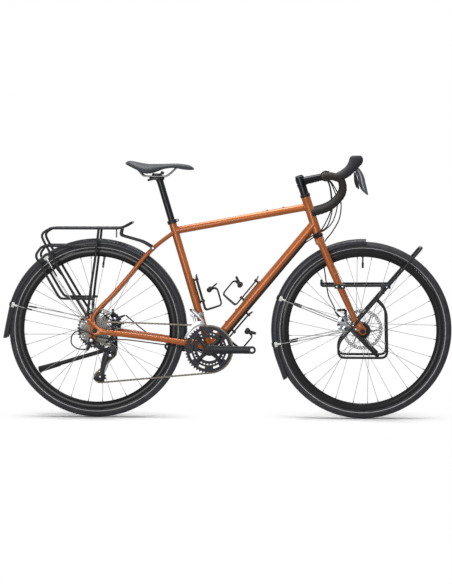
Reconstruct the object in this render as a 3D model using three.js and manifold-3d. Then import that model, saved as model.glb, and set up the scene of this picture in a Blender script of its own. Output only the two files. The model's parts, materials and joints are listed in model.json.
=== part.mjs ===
// A touring bicycle with drop bars, mudguards, a rear rack, a low front rack and three bottle cages.
// Millimetres. +X points forward, +Y to the bicycle's left and +Z up.
import * as THREE from 'three';
import { mergeVertices } from 'three/addons/utils/BufferGeometryUtils.js';
import Module from 'manifold-3d';

const wasm = await Module();
wasm.setup();

// Driving dimensions of the bicycle
const wheelbase = 1050;
const tyreRadius = 349;
const tyreWidth = 37;
const chainstayLength = 454;
const bracketDrop = 74;
const seatTubeAngle = 73.5;
const seatTubeLength = 526;
const headAngle = 72;
const headTubeLength = 155;
const forkLength = 413;
const forkRake = 52;
const barHalfWidth = 214;
const crankLength = 170;
const frontSpacing = 100;
const rearSpacing = 135;
const chainPitch = 12.7;
const chainLine = 48.5;

// Clearances, and how far a cut runs past the face it opens
const gap = 0.3;
const runningGap = 0.6;
const overrun = 4;

// Facets round a piece
const wheelSides = 32;
const tubeSides = 10;
const rodSides = 6;
const smallSides = 8;

// Finishes
const finishes = {
  frame: { color: 0xbe5f23, roughness: 0.3, metalness: 0.45 },
  black: { color: 0x1d1e20, roughness: 0.45, metalness: 0.3 },
  rubber: { color: 0x2c2d30, roughness: 0.85, metalness: 0 },
  plastic: { color: 0x252629, roughness: 0.55, metalness: 0 },
  silver: { color: 0xb9bcc0, roughness: 0.3, metalness: 0.9 },
  steel: { color: 0x8b8d90, roughness: 0.35, metalness: 0.9 },
  tape: { color: 0x202124, roughness: 0.9, metalness: 0 },
};

const degrees = Math.PI / 180;
const right = -1;
const left = 1;
const bicycle = new THREE.Group();

// Points and directions

const at = (x, y, z) => new THREE.Vector3(x, y, z);
const across = at(0, 1, 0);
const forward = at(1, 0, 0);
const upward = at(0, 0, 1);

// A point that lies a and b along two directions from an origin, moved sideways by y
function from(origin, alongDirection, a, outDirection = across, b = 0, y = 0) {
  return origin.clone().addScaledVector(alongDirection, a).addScaledVector(outDirection, b)
    .addScaledVector(across, y);
}

// A point on a circle round a centre, in the plane of the wheels
function around(centre, radius, angle, y = 0) {
  return at(centre.x + radius * Math.cos(angle), centre.y + y, centre.z + radius * Math.sin(angle));
}

// Solids

// Turns a closed geometry into a solid whose faces point out
function toSolid(shape) {
  if (!shape.isBufferGeometry) return shape;
  const bare = shape.clone();
  bare.deleteAttribute('normal');
  bare.deleteAttribute('uv');
  const merged = mergeVertices(bare);
  const place = merged.getAttribute('position');
  const index = merged.getIndex().array;
  const corners = [];
  let volume = 0;
  const [a, b, c] = [at(0, 0, 0), at(0, 0, 0), at(0, 0, 0)];
  for (let i = 0; i < index.length; i += 3) {
    const [p, q, r] = [index[i], index[i + 1], index[i + 2]];
    if (p === q || q === r || r === p) continue;
    corners.push(p, q, r);
    a.fromBufferAttribute(place, p);
    b.fromBufferAttribute(place, q);
    c.fromBufferAttribute(place, r);
    volume += a.dot(b.cross(c));
  }
  if (volume < 0) corners.reverse();
  const triVerts = new Uint32Array(corners);
  return new wasm.Manifold(new wasm.Mesh({ numProp: 3, vertProperties: place.array, triVerts }));
}

const join = (...shapes) => shapes.flat().map(toSolid).reduce((sum, shape) => sum.add(shape));
const cut = (body, ...tools) => toSolid(body).subtract(join(...tools));

function toGeometry(solid) {
  const mesh = solid.getMesh();
  const geometry = new THREE.BufferGeometry();
  geometry.setAttribute('position', new THREE.BufferAttribute(new Float32Array(mesh.vertProperties), 3));
  geometry.setIndex(new THREE.BufferAttribute(new Uint32Array(mesh.triVerts), 1));
  geometry.computeVertexNormals();
  return geometry;
}

// Names a piece, gives it its finish and sets it at its place
function addPiece(name, shape, finish, place = at(0, 0, 0)) {
  const material = new THREE.MeshStandardMaterial(finishes[finish]);
  const mesh = new THREE.Mesh(toGeometry(toSolid(shape)), material);
  mesh.name = name;
  mesh.position.copy(place);
  bicycle.add(mesh);
}

// A flat plate between two planes across the bicycle, from its outline in X and Z
function plate(outline, yFrom, yTo, hole = null) {
  const shape = new THREE.Shape(outline.map(([x, z]) => new THREE.Vector2(x, z)));
  if (hole) shape.holes.push(new THREE.Path(hole.map(([x, z]) => new THREE.Vector2(x, z))));
  const geometry = new THREE.ExtrudeGeometry(shape, { depth: yTo - yFrom, bevelEnabled: false });
  return geometry.rotateX(90 * degrees).translate(0, yTo, 0);
}

// A turned piece about the Y axis, from a closed profile of radius and Y
function turned(profile, sides) {
  const points = profile.map(([radius, y]) => new THREE.Vector2(radius, y));
  return new THREE.LatheGeometry(points, sides);
}

function disc(radius, yFrom, yTo, sides, centre = at(0, 0, 0)) {
  return turned([[0, yFrom], [radius, yFrom], [radius, yTo], [0, yTo]], sides)
    .translate(centre.x, centre.y, centre.z);
}

function ring(inner, outer, yFrom, yTo, sides, centre = at(0, 0, 0)) {
  return turned([[inner, yFrom], [outer, yFrom], [outer, yTo], [inner, yTo], [inner, yFrom]], sides)
    .translate(centre.x, centre.y, centre.z);
}

// A round bar between two points, which may taper
function bar(start, end, radius, sides = tubeSides, endRadius = radius) {
  const reach = end.clone().sub(start);
  const geometry = new THREE.CylinderGeometry(endRadius, radius, reach.length(), sides);
  geometry.applyQuaternion(new THREE.Quaternion().setFromUnitVectors(across, reach.clone().normalize()));
  const middle = start.clone().lerp(end, 0.5);
  return geometry.translate(middle.x, middle.y, middle.z);
}

// The radius of a faceted hole in which a shaft turns clear
const bored = (radius, sides) => (radius + gap) / Math.cos(Math.PI / sides);

// A block turned about Y by a tilt
function block(centre, long, wide, high, tilt = 0) {
  return new THREE.BoxGeometry(long, wide, high).rotateY(-tilt).translate(centre.x, centre.y, centre.z);
}

// The path of a bent rod, which has one sample at each of its points
class RodPath extends THREE.Curve {
  constructor(points) {
    super();
    this.points = points;
  }

  getPointAt(share) {
    return this.points[Math.round(share * (this.points.length - 1))].clone();
  }

  getTangentAt(share) {
    const last = this.points.length - 1;
    const here = Math.round(share * last);
    const after = this.points[Math.min(here + 1, last)];
    const before = this.points[Math.max(here - 1, 0)];
    const point = this.points[here];
    const onward = here < last ? after.clone().sub(point).normalize() : at(0, 0, 0);
    const behind = here > 0 ? point.clone().sub(before).normalize() : at(0, 0, 0);
    return onward.add(behind).normalize();
  }
}

function roundOutline(radius, sides) {
  const turn = 2 * Math.PI / sides;
  return Array.from({ length: sides }, (_, i) =>
    new THREE.Vector2(radius * Math.cos((i + 0.5) * turn), radius * Math.sin((i + 0.5) * turn)));
}

// A rod of one section along points, hollow when it has a bore
function rod(points, radius, sides = rodSides, bore = 0) {
  const section = new THREE.Shape(roundOutline(radius, sides));
  if (bore) section.holes.push(new THREE.Path(roundOutline(bore, sides)));
  const extrudePath = new RodPath(points);
  return new THREE.ExtrudeGeometry(section, { steps: points.length - 1, extrudePath, curveSegments: 1 });
}

// Straight runs with their corners rounded, as a bent tube has
function bent(points, radius, cuts = 3) {
  const path = [points[0]];
  for (let i = 1; i < points.length - 1; i += 1) {
    const corner = points[i];
    const back = points[i - 1].clone().sub(corner);
    const ahead = points[i + 1].clone().sub(corner);
    const reach = Math.min(radius, back.length() / 2.2, ahead.length() / 2.2);
    const curve = new THREE.QuadraticBezierCurve3(
      corner.clone().addScaledVector(back.normalize(), reach), corner,
      corner.clone().addScaledVector(ahead.normalize(), reach));
    path.push(...curve.getPoints(cuts));
  }
  path.push(points.at(-1));
  return path;
}

// A smooth route through points, in equal steps
const smooth = (points, steps) =>
  new THREE.CatmullRomCurve3(points, false, 'centripetal').getSpacedPoints(steps);

// Faces that close the end of a skin
function capFaces(edge, first) {
  const normal = at(0, 0, 0);
  edge.forEach((point, i) => normal.add(point.clone().cross(edge[(i + 1) % edge.length])));
  normal.normalize();
  const u = edge[1].clone().sub(edge[0]).normalize();
  const v = normal.clone().cross(u);
  const flat = edge.map((point) => new THREE.Vector2(point.dot(u), point.dot(v)));
  return THREE.ShapeUtils.triangulateShape(flat, []).map((face) => face.map((corner) => corner + first));
}

// A closed skin over outlines that stand one after another
function skin(outlines) {
  const sides = outlines[0].length;
  const faces = [];
  for (let i = 0; i < outlines.length - 1; i += 1) {
    for (let j = 0; j < sides; j += 1) {
      const [here, next] = [i * sides + j, i * sides + (j + 1) % sides];
      faces.push([here, next, next + sides], [here, next + sides, here + sides]);
    }
  }
  capFaces(outlines[0], 0).forEach((face) => faces.push(face.reverse()));
  faces.push(...capFaces(outlines.at(-1), (outlines.length - 1) * sides));
  const geometry = new THREE.BufferGeometry();
  geometry.setAttribute('position', new THREE.Float32BufferAttribute(
    outlines.flat().flatMap((point) => point.toArray()), 3));
  geometry.setIndex(faces.flat());
  return geometry;
}

// An oval outline about a centre, half-sizes along two directions
function oval(centre, sideways, halfWide, rise, halfHigh, sides = smallSides) {
  return Array.from({ length: sides }, (_, i) => {
    const turn = (i + 0.5) * 2 * Math.PI / sides;
    return from(centre, sideways, halfWide * Math.cos(turn), rise, halfHigh * Math.sin(turn));
  });
}

// A tube of changing oval section through stations of place, half-width and half-height
function blade(stations, sides = smallSides) {
  const path = new RodPath(stations.map(([place]) => place));
  return skin(stations.map(([place, halfWide, halfHigh], i) => {
    const onward = path.getTangentAt(i / (stations.length - 1));
    const rise = onward.clone().cross(across).normalize();
    return oval(place, onward.clone().cross(rise).normalize(), halfWide, rise, halfHigh, sides);
  }));
}

// Points given as shares of a length and a height from an origin, in the plane of the wheels
const spread = (origin, length, height, shares) =>
  shares.map(([x, z, y = 0]) => at(origin.x + x * length, y, origin.z + z * height));

// Main points of the frame

const rearAxle = at(0, 0, tyreRadius);
const frontAxle = at(wheelbase, 0, tyreRadius);
const bracket = at(Math.sqrt(chainstayLength ** 2 - bracketDrop ** 2), 0, tyreRadius - bracketDrop);
const seatAxis = at(-Math.cos(seatTubeAngle * degrees), 0, Math.sin(seatTubeAngle * degrees));
const seatOut = at(seatAxis.z, 0, -seatAxis.x);
const seatTop = from(bracket, seatAxis, seatTubeLength);
const headAxis = at(-Math.cos(headAngle * degrees), 0, Math.sin(headAngle * degrees));
const headOut = at(headAxis.z, 0, -headAxis.x);
const headBottom = from(frontAxle, headAxis, forkLength, headOut, -forkRake);
const headTop = from(headBottom, headAxis, headTubeLength);

// Frame tubes
const headTubeRadius = 18;
const headTubeBore = 15.6;
const seatTubeRadius = 15.5;
const topTubeRadius = 14.3;
const downTubeRadius = 19;
const topTubeBelowSeatTop = 42;
const topTubeBelowHeadTop = 40;
const downTubeAboveHeadBottom = 43;
const shellLength = 68;
const shellRadius = 20.5;
const shellBore = 17.3;
const seatPostRadius = 13.6;
const seatPostInset = 210;
const seatBoreDepth = 335;

const topTubeRear = from(seatTop, seatAxis, -topTubeBelowSeatTop);
const topTubeFront = from(headTop, headAxis, -topTubeBelowHeadTop);
const downTubeFront = from(headBottom, headAxis, downTubeAboveHeadBottom);
const topAxis = topTubeFront.clone().sub(topTubeRear).normalize();
const topOut = at(-topAxis.z, 0, topAxis.x);
const downAxis = downTubeFront.clone().sub(bracket).normalize();
const downOut = at(-downAxis.z, 0, downAxis.x);
const downUnder = downOut.clone().negate();

// Stays: place as shares of the chainstay length and bracket drop, then reach out, half-width and half-height
const chainstayHeight = 12;
const chainstayHalfWidth = 8;
const chainstayShares = [[0.96, -0.9, 0.31, 1, 1.08], [0.87, -0.77, 0.4, 1, 1.04], [0.76, -0.66, 0.5, 1, 1],
  [0.6, -0.5, 0.62, 1.05, 0.95], [0.3, -0.25, 0.83, 1, 0.92], [0.1, -0.09, 1, 0.87, 0.9],
  [0.04, -0.02, 1.04, 0.4, 0.9]];
const seatstayReach = 380;
const seatstayRadius = 8;
const seatstayShares = [[0.807, 1.013, 0.18], [0.571, 0.824, 0.46], [0.366, 0.583, 0.67],
  [0.161, 0.347, 0.89], [0.058, 0.244, 0.985], [-0.013, 0.152, 1.045], [-0.024, 0.09, 1.045]];
const staySpread = rearSpacing / 2;

// Rear dropouts, with an eyelet tab above and the derailleur hanger below the right one
const dropoutSize = 50;
const dropoutThickness = 6;
const dropoutInner = rearSpacing / 2;
const dropoutOuter = dropoutInner + dropoutThickness;
const dropoutUpperShares = [[0.9, -0.22], [0.9, 0.2], [0.25, 0.42], [0.12, 0.9], [-0.3, 1.24], [-0.74, 1.24],
  [-0.88, 0.9], [-0.8, 0.6], [-0.42, 0.4], [-0.42, -0.3]];
const hangerShares = [[-0.5, -0.78], [-0.42, -0.95], [-0.05, -0.95], [0.02, -0.78], [0.12, -0.4]];
const plainShares = [[-0.25, -0.42], [0.12, -0.4]];
const axleRadius = 5;
const axleHole = 5.8;

// Bridges between the stays, which carry the rear mudguard
const bridgeRadius = 378;
const bridgeTubeRadius = 6;
const lowerBridgeAngle = -9.7 * degrees;
const upperBridgeAngle = 55.3 * degrees;
const lowerBridgeHalf = 30;
const upperBridgeHalf = 27;

// Mounts on the left stay: rear brake seat and stand plate
const brakeSeatX = 73;
const brakeSeatLength = 34;
const brakeSeatY = 62.5;
const brakeSeatWidth = 12;
const brakeSeatTop = 352.5;
const brakeSeatHeight = 12;
const standPlateX = 60;
const standPlateLength = 30;
const standPlateThickness = 9;
const standPlateY = 67;
const standPlateTop = 333;
const standPivotZ = 262;
const standBossRadius = 11;
const standBossLength = 10;
const standRootHalf = 8;
const standAxisTilt = 20 * degrees;
const standAxis = at(0, Math.cos(standAxisTilt), Math.sin(standAxisTilt));
const standBossStart = at(standPlateX, standPlateY, standPivotZ);
const standPivot = from(standBossStart, standAxis, standBossLength + gap + standRootHalf);

// Threaded bosses
const bossRadius = 4.5;
const bossHeight = 3;
const topBossPlaces = [372, 436];
const downBossPlaces = [122, 186];

function chainstay(side) {
  return blade(chainstayShares.map(([x, z, out, wide, high]) => [
    at(x * chainstayLength, side * out * staySpread, tyreRadius + z * bracketDrop),
    wide * chainstayHalfWidth, high * chainstayHeight]));
}

function seatstay(side) {
  const points = spread(rearAxle, seatstayReach, seatstayReach,
    seatstayShares.map(([x, z, out]) => [x, z, side * out * staySpread]));
  return rod(points, seatstayRadius, smallSides);
}

function holeOutline(radius, sides, centre = [0, 0]) {
  return roundOutline(radius, sides).map((point) => [centre[0] + point.x, centre[1] + point.y]);
}

function rearDropout(side) {
  const lower = side === right ? hangerShares : plainShares;
  const outline = [...dropoutUpperShares, ...lower].map(([x, z]) => [x * dropoutSize, z * dropoutSize]);
  const inner = side === right ? -dropoutOuter : dropoutInner;
  return plate(outline, inner, inner + dropoutThickness, holeOutline(axleHole, smallSides))
    .translate(0, 0, tyreRadius);
}

function boss(origin, axis, out, tubeRadius, place) {
  const foot = from(origin, axis, place, out, tubeRadius - bossHeight);
  return bar(foot, from(foot, out, 2 * bossHeight), bossRadius, rodSides);
}

const bridge = (angle, half) => bar(around(rearAxle, bridgeRadius, angle, -half),
  around(rearAxle, bridgeRadius, angle, half), bridgeTubeRadius, rodSides);

function makeFrame() {
  const tubes = join(
    bar(bracket, seatTop, seatTubeRadius), bar(topTubeRear, topTubeFront, topTubeRadius),
    bar(bracket, downTubeFront, downTubeRadius), bar(headBottom, headTop, headTubeRadius),
    disc(shellRadius, -shellLength / 2, shellLength / 2, tubeSides, bracket));
  const stays = [right, left].flatMap((side) => [chainstay(side), seatstay(side), rearDropout(side)]);
  const bridges = [bridge(lowerBridgeAngle, lowerBridgeHalf), bridge(upperBridgeAngle, upperBridgeHalf)];
  const brakeSeat = block(at(brakeSeatX, brakeSeatY, brakeSeatTop - brakeSeatHeight / 2),
    brakeSeatLength, brakeSeatWidth, brakeSeatHeight);
  const standPlate = block(at(standPlateX, standPlateY, (standPlateTop + standPivotZ) / 2),
    standPlateLength, standPlateThickness, standPlateTop - standPivotZ);
  const standBoss = bar(standBossStart, from(standBossStart, standAxis, standBossLength), standBossRadius,
    smallSides);
  const bosses = [
    ...topBossPlaces.map((place) => boss(topTubeRear, topAxis, topOut, topTubeRadius, place)),
    ...downBossPlaces.map((place) => boss(bracket, downAxis, downOut, downTubeRadius, place))];
  const bores = [
    bar(from(headBottom, headAxis, -overrun), from(headTop, headAxis, overrun), headTubeBore),
    bar(from(seatTop, seatAxis, -seatBoreDepth), from(seatTop, seatAxis, overrun),
      seatPostRadius + runningGap),
    disc(shellBore, -shellLength, shellLength, tubeSides, bracket)];
  return cut(join(tubes, stays, bridges, brakeSeat, standPlate, standBoss, bosses), ...bores);
}
addPiece('frame', makeFrame(), 'frame');

// Headset: a cup against each end of the head tube
const upperCupHeight = 12;
const lowerCupHeight = 12;
const cupRadius = 20;
const steererRadius = 14.3;

function cup(start, end) {
  const body = bar(start, end, cupRadius, tubeSides);
  return cut(body, bar(from(start, headAxis, -overrun), from(end, headAxis, overrun), headTubeBore));
}
addPiece('headset_upper_cup', cup(from(headTop, headAxis, gap),
  from(headTop, headAxis, gap + upperCupHeight)), 'black');
addPiece('headset_lower_cup', cup(from(headBottom, headAxis, -gap - lowerCupHeight),
  from(headBottom, headAxis, -gap)), 'black');

// Bottom bracket: a sleeve through the shell with a bearing cup at each end
const bracketCupLength = 9;
const bracketCupRadius = 21.5;
const spindleRadius = 12;

function makeBottomBracket() {
  const inner = bored(spindleRadius, tubeSides);
  const sleeve = shellBore - runningGap;
  const face = shellLength / 2 + gap;
  const end = face + bracketCupLength;
  return turned([[inner, -end], [bracketCupRadius, -end], [bracketCupRadius, -face], [sleeve, -face],
    [sleeve, face], [bracketCupRadius, face], [bracketCupRadius, end], [inner, end], [inner, -end]],
  tubeSides);
}
addPiece('bottom_bracket', makeBottomBracket(), 'black', bracket);

// Seat clamp round the top of the seat tube, with its bolt in front
const clampHeight = 14;
const clampWall = 3.5;
const clampBelowTop = 12;
const clampEarLength = 9;
const clampEarWidth = 14;
const clampBoltRadius = 4;
const clampBoltReach = 9;

function makeSeatClamp() {
  const bottom = from(seatTop, seatAxis, -clampBelowTop);
  const top = from(bottom, seatAxis, clampHeight);
  const outer = seatTubeRadius + gap + clampWall;
  const ear = from(bottom, seatAxis, clampHeight / 2, seatOut, outer + clampEarLength / 2 - clampWall / 2);
  const bolt = bar(from(ear, across, -clampBoltReach), from(ear, across, clampBoltReach), clampBoltRadius,
    smallSides);
  const tilt = (90 - seatTubeAngle) * degrees;
  const body = join(bar(bottom, top, outer), bolt,
    block(ear, clampEarLength, clampEarWidth, clampHeight - clampWall, tilt));
  return cut(body, bar(from(bottom, seatAxis, -overrun), from(top, seatAxis, overrun),
    seatTubeRadius + runningGap));
}
addPiece('seat_clamp', makeSeatClamp(), 'black');

// Saddle: rear end, size, and its outline as shares of length and height, with half-widths
const saddleLength = 270;
const saddleHeight = 58;
const saddleHalfWidth = 74;
const saddleBottom = 958;
const saddleRear = 118;
const saddleStations = [[0.01, 0.9, 0.72, 0.42], [0.06, 1, 0.6, 0.75], [0.16, 0.925, 0.37, 0.96],
  [0.3, 0.81, 0.06, 1], [0.42, 0.79, 0.17, 0.8], [0.55, 0.785, 0.4, 0.5], [0.7, 0.805, 0.47, 0.33],
  [0.84, 0.77, 0.36, 0.27], [0.94, 0.66, 0.33, 0.22], [0.995, 0.47, 0.36, 0.11]];
const saddleCrown = [[-1, 0], [-0.97, 0.45], [-0.78, 0.83], [-0.42, 0.98], [0, 0.94], [0.42, 0.98],
  [0.78, 0.83], [0.97, 0.45], [1, 0]];
const saddleHollow = [[0.8, 0.06], [0.45, 0.5], [0, 0.56], [-0.45, 0.5], [-0.8, 0.06]];

function makeSaddle() {
  return skin(saddleStations.map(([along, top, edge, wide]) => {
    const rise = (top - edge) * saddleHeight;
    return [...saddleCrown, ...saddleHollow].map(([out, up]) => at(saddleRear + along * saddleLength,
      out * wide * saddleHalfWidth, saddleBottom + edge * saddleHeight + up * rise));
  }));
}
addPiece('saddle', makeSaddle(), 'rubber');

// Saddle rails: two bent rods joined at the nose
const railRadius = 3.5;
const railBend = 12;
const railCuts = 2;
const railSides = 5;
const railReach = 160;
const railDrop = 22;
const railGauge = 22;
const railRear = at(160, 0, 953.5);
const railShares = [[0, 1.66, 1.5], [0.18, 0, 1], [0.74, 0, 1], [0.85, 0.6, 0.9], [1, 1.62, 0.4]];

function makeRails() {
  const sides = [right, left].map((side) => {
    const places = railShares.map(([x, z, y]) => [x, z, side * y * railGauge]);
    const path = bent(spread(railRear, railReach, railDrop, places), railBend, railCuts);
    return rod(path, railRadius, railSides);
  });
  const nose = spread(railRear, railReach, railDrop, [[railShares.at(-1)[0], railShares.at(-1)[1]]])[0];
  const half = railShares.at(-1)[2] * railGauge;
  return join(sides, bar(from(nose, across, -half), from(nose, across, half), railRadius, rodSides));
}
addPiece('saddle_rails', makeRails(), 'steel');

// Seatpost with a clamp head that holds the rails
const postTop = at(247.5, 0, 938);
const headLength = 40;
const headHalfWidth = 29;
const headHeight = 20;
const headX = 242;
const headZ = railRear.z;
const headNeck = 11;

function makeSeatpost() {
  const start = from(seatTop, seatAxis, overrun - seatPostInset);
  const end = from(seatTop, seatAxis, postTop.clone().sub(seatTop).dot(seatAxis));
  const head = block(at(headX, 0, headZ), headLength, 2 * headHalfWidth, headHeight);
  const neck = bar(from(end, seatAxis, -headNeck), at(headX, 0, headZ), seatPostRadius);
  const grooves = [right, left].map((side) => bar(at(headX - headLength, side * railGauge, railRear.z),
    at(headX + headLength, side * railGauge, railRear.z), railRadius + runningGap, rodSides));
  return cut(join(bar(start, end, seatPostRadius), head, neck), ...grooves);
}
addPiece('seatpost', makeSeatpost(), 'black');

// Fork: steerer, crown, two blades and their dropouts
const steererTop = 81;
const crownBelowHead = 29;
const crownRadius = 15;
const crownHalf = 52;
const crownSeatRadius = 19;
const bladeWidth = 12.5;
const bladeDepth = 14.5;
const bladeReach = 403;
const bladeShares = [[-0.427, 0.89, 0.8, 1.08, 0.97], [-0.375, 0.785, 0.82, 1.04, 1],
  [-0.292, 0.584, 0.84, 1, 1], [-0.159, 0.291, 0.9, 0.86, 0.84], [-0.073, 0.107, 1, 0.64, 0.66],
  [-0.05, 0.066, 1.04, 0.28, 0.66]];
const forkDropoutThickness = 5;
const forkDropoutSize = 45;
const forkDropoutInner = frontSpacing / 2;
const forkDropoutOuter = forkDropoutInner + forkDropoutThickness;
const forkDropoutShares = [[-0.8, 0.32], [-0.92, 0.6], [-0.62, 1.08], [-0.28, 0.9], [0.3, 0.25], [0.3, -0.2],
  [0.1, -0.34], [-0.25, -0.3]];
const rackBossHeight = 176;
const rackBossRadius = 6;
const rackBossReach = 57;
const rackBossBehind = 90;
const forkSeatFront = 1012;
const forkSeatLength = 12;
const forkSeatY = 48;
const forkSeatWidth = 12;
const forkSeatZ = 395;
const forkSeatHeight = 30;

const rackBoss = (side, reach) => at(wheelbase - rackBossBehind, side * reach, tyreRadius + rackBossHeight);

function forkSide(side) {
  const stations = bladeShares.map(([x, z, out, wide, deep]) => [
    from(frontAxle, forward, x * bladeReach, upward, z * bladeReach, side * out * frontSpacing / 2),
    wide * bladeWidth, deep * bladeDepth]);
  const outline = forkDropoutShares.map(([x, z]) => [x * forkDropoutSize, z * forkDropoutSize]);
  const inner = side === right ? -forkDropoutOuter : forkDropoutInner;
  const dropout = plate(outline, inner, inner + forkDropoutThickness, holeOutline(axleHole, smallSides))
    .translate(wheelbase, 0, tyreRadius);
  const boltBoss = bar(rackBoss(side, bladeWidth + frontSpacing / 4), rackBoss(side, rackBossReach),
    rackBossRadius, smallSides);
  return [blade(stations), dropout, boltBoss];
}

function makeFork() {
  const crown = from(headBottom, headAxis, -crownBelowHead);
  const seat = from(headBottom, headAxis, -lowerCupHeight - 2 * gap);
  const brakeSeat = block(at(forkSeatFront - forkSeatLength / 2, forkSeatY, forkSeatZ), forkSeatLength,
    forkSeatWidth, forkSeatHeight);
  return join(bar(crown, from(headTop, headAxis, steererTop), steererRadius),
    bar(crown, seat, crownSeatRadius),
    bar(from(crown, across, -crownHalf), from(crown, across, crownHalf), crownRadius),
    forkSide(right), forkSide(left), brakeSeat);
}
addPiece('fork', makeFork(), 'frame');

// Stem with the spacers below it and the cap above
const spacerStack = 30;
const stemClampHeight = 40;
const stemReach = 98;
const stemRise = 22;
const stemRadius = 15;
const stemClampRadius = 18.5;
const stemCapHeight = 5;
const stemCapRadius = 15.6;
const spacerRadius = 16.8;
const barClampRadius = 21.5;
const barClampHalf = 20;
const bulgeRadius = 15.9;
const bulgeHalf = 30;

const spacerBottom = from(headTop, headAxis, upperCupHeight + 2 * gap);
const stemBottom = from(spacerBottom, headAxis, spacerStack);
const stemTop = from(stemBottom, headAxis, stemClampHeight);
const stemMiddle = from(stemBottom, headAxis, stemClampHeight / 2);
const barCentre = from(stemMiddle, forward, stemReach, upward, stemRise);

function makeStem() {
  const faces = [-barClampHalf, barClampHalf];
  const body = join(bar(spacerBottom, stemMiddle, spacerRadius),
    bar(stemBottom, stemTop, stemClampRadius),
    bar(stemMiddle, from(stemTop, headAxis, stemCapHeight), stemCapRadius),
    bar(stemMiddle, barCentre, stemRadius),
    disc(barClampRadius, ...faces, tubeSides, barCentre));
  return cut(body, disc(bulgeRadius + gap, -2 * barClampHalf, 2 * barClampHalf, tubeSides, barCentre),
    bar(from(spacerBottom, headAxis, -overrun), from(headTop, headAxis, steererTop + gap),
      steererRadius + runningGap));
}
addPiece('stem', makeStem(), 'black');

// Drop handlebar: reach, drop and half-width shares from the middle out to each end
const barRadius = 11.9;
const tapeRadius = 15;
const tapeStart = 72;
const tapeRoom = 0.9;
const barReach = 66;
const barDrop = 139;
const barSteps = 13;
const barShares = [[0, 0, 0.5], [0, 0, 0.68], [0.04, 0, 0.86], [0.32, 0, 0.962], [0.83, -0.08, 0.985],
  [1, -0.27, 0.99], [0.92, -0.5, 1], [0.5, -0.74, 1.01], [-0.02, -0.89, 1.02], [-0.77, -1, 1.03]];

function barPath(side) {
  const places = barShares.map(([x, z, y]) => from(barCentre, forward, x * barReach, upward,
    z * barDrop, side * y * barHalfWidth));
  return smooth([from(barCentre, across, side * tapeStart), ...places], barSteps);
}

const barSide = (side) => rod([barCentre, ...barPath(side)], barRadius, smallSides);
addPiece('handlebar', join(barSide(right), barSide(left),
  disc(bulgeRadius, -bulgeHalf, bulgeHalf, tubeSides, barCentre)), 'black');

// Hoods on the bends, with a slot for the lever
const hoodSize = 100;
const hoodHalfWidth = 16;
const hoodHalfHeight = 19;
const hoodRoot = from(barCentre, forward, 0.76 * barReach, upward, -0.02 * barDrop);
const hoodShare = 0.99;
const hoodShares = [[-0.02, 0, 0.94, 0.84], [0.18, 0.09, 0.94, 0.9], [0.4, 0.25, 0.97, 0.95],
  [0.54, 0.42, 1, 1], [0.58, 0.58, 0.85, 0.78], [0.6, 0.72, 0.6, 0.5]];
const slotShare = [0.72, 0.24];
const slotSizeShares = [0.46, 0.43];

// Brake levers that hang from the hoods, each with a shift paddle behind it
const leverHalfWidth = 6;
const leverHalfThickness = 5;
const slotHalfWidth = leverHalfWidth * Math.cos(Math.PI / smallSides) + gap;
const leverShares = [[0.58, 0.36, 1, 1.1], [0.7, 0.27, 1, 1.1], [0.8, 0, 1.1, 1], [0.86, -0.28, 1.25, 0.85],
  [0.94, -0.52, 1.35, 0.8], [1.03, -0.66, 1.1, 0.5]];
const paddleHalfWidth = 9;
const paddleHalfThickness = 2;
const paddleShares = [[0.64, 0.16, 0.6, 1], [0.66, 0, 0.8, 1], [0.7, -0.2, 1, 1], [0.76, -0.42, 0.8, 0.8]];
const paddlePinRadius = 2.6;
const paddleRoom = 1.6;
const paddlePinShare = [0.78, 0.115];

const hoodPoint = (side, x, z) => from(hoodRoot, forward, x * hoodSize, upward, z * hoodSize,
  side * hoodShare * barHalfWidth);

const hoodBlade = (side, shares, halfWide, halfHigh, sides) => blade(shares.map(([x, z, wide, high]) =>
  [hoodPoint(side, x, z), wide * halfWide, high * halfHigh]), sides);

function makeHood(side) {
  const slot = block(hoodPoint(side, ...slotShare), slotSizeShares[0] * hoodSize,
    2 * slotHalfWidth, slotSizeShares[1] * hoodSize);
  const grip = rod(barPath(side), tapeRadius + runningGap, smallSides);
  return cut(hoodBlade(side, hoodShares, hoodHalfWidth, hoodHalfHeight, smallSides), slot, grip);
}

function makeLever(side) {
  const pin = hoodPoint(side, ...paddlePinShare);
  const paddleRoot = hoodPoint(side, paddleShares[0][0], paddleShares[0][1]);
  const reach = paddleRoot.clone().sub(pin);
  const end = from(paddleRoot, reach.clone().normalize(), -paddleHalfThickness - paddleRoom);
  return join(hoodBlade(side, leverShares, leverHalfWidth, leverHalfThickness, smallSides),
    bar(pin, end, paddlePinRadius, rodSides));
}

for (const [word, side] of [['left', left], ['right', right]]) {
  addPiece(`bar_tape_${word}`, rod(barPath(side), tapeRadius, smallSides, barRadius + tapeRoom),
    'tape');
  addPiece(`lever_hood_${word}`, makeHood(side), 'rubber');
  addPiece(`brake_lever_${word}`, makeLever(side), 'black');
  addPiece(`shift_paddle_${word}`, hoodBlade(side, paddleShares, paddleHalfWidth, paddleHalfThickness,
    rodSides), 'black');
}

// Tyre and rim sections, as shares of depth and half-width
const rimOuter = 316;
const rimInner = 289;
const rimHalfWidth = 12;
const tyreShares = [[0, -0.57], [0.2, -0.92], [0.47, -1], [0.8, -0.75], [1, 0], [0.8, 0.75], [0.47, 1],
  [0.2, 0.92], [0, 0.57], [0, -0.57]];
const rimShares = [[0, -0.42], [0.4, -1], [1, -0.95], [1, 0.95], [0.4, 1], [0, 0.42], [0, -0.42]];

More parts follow.
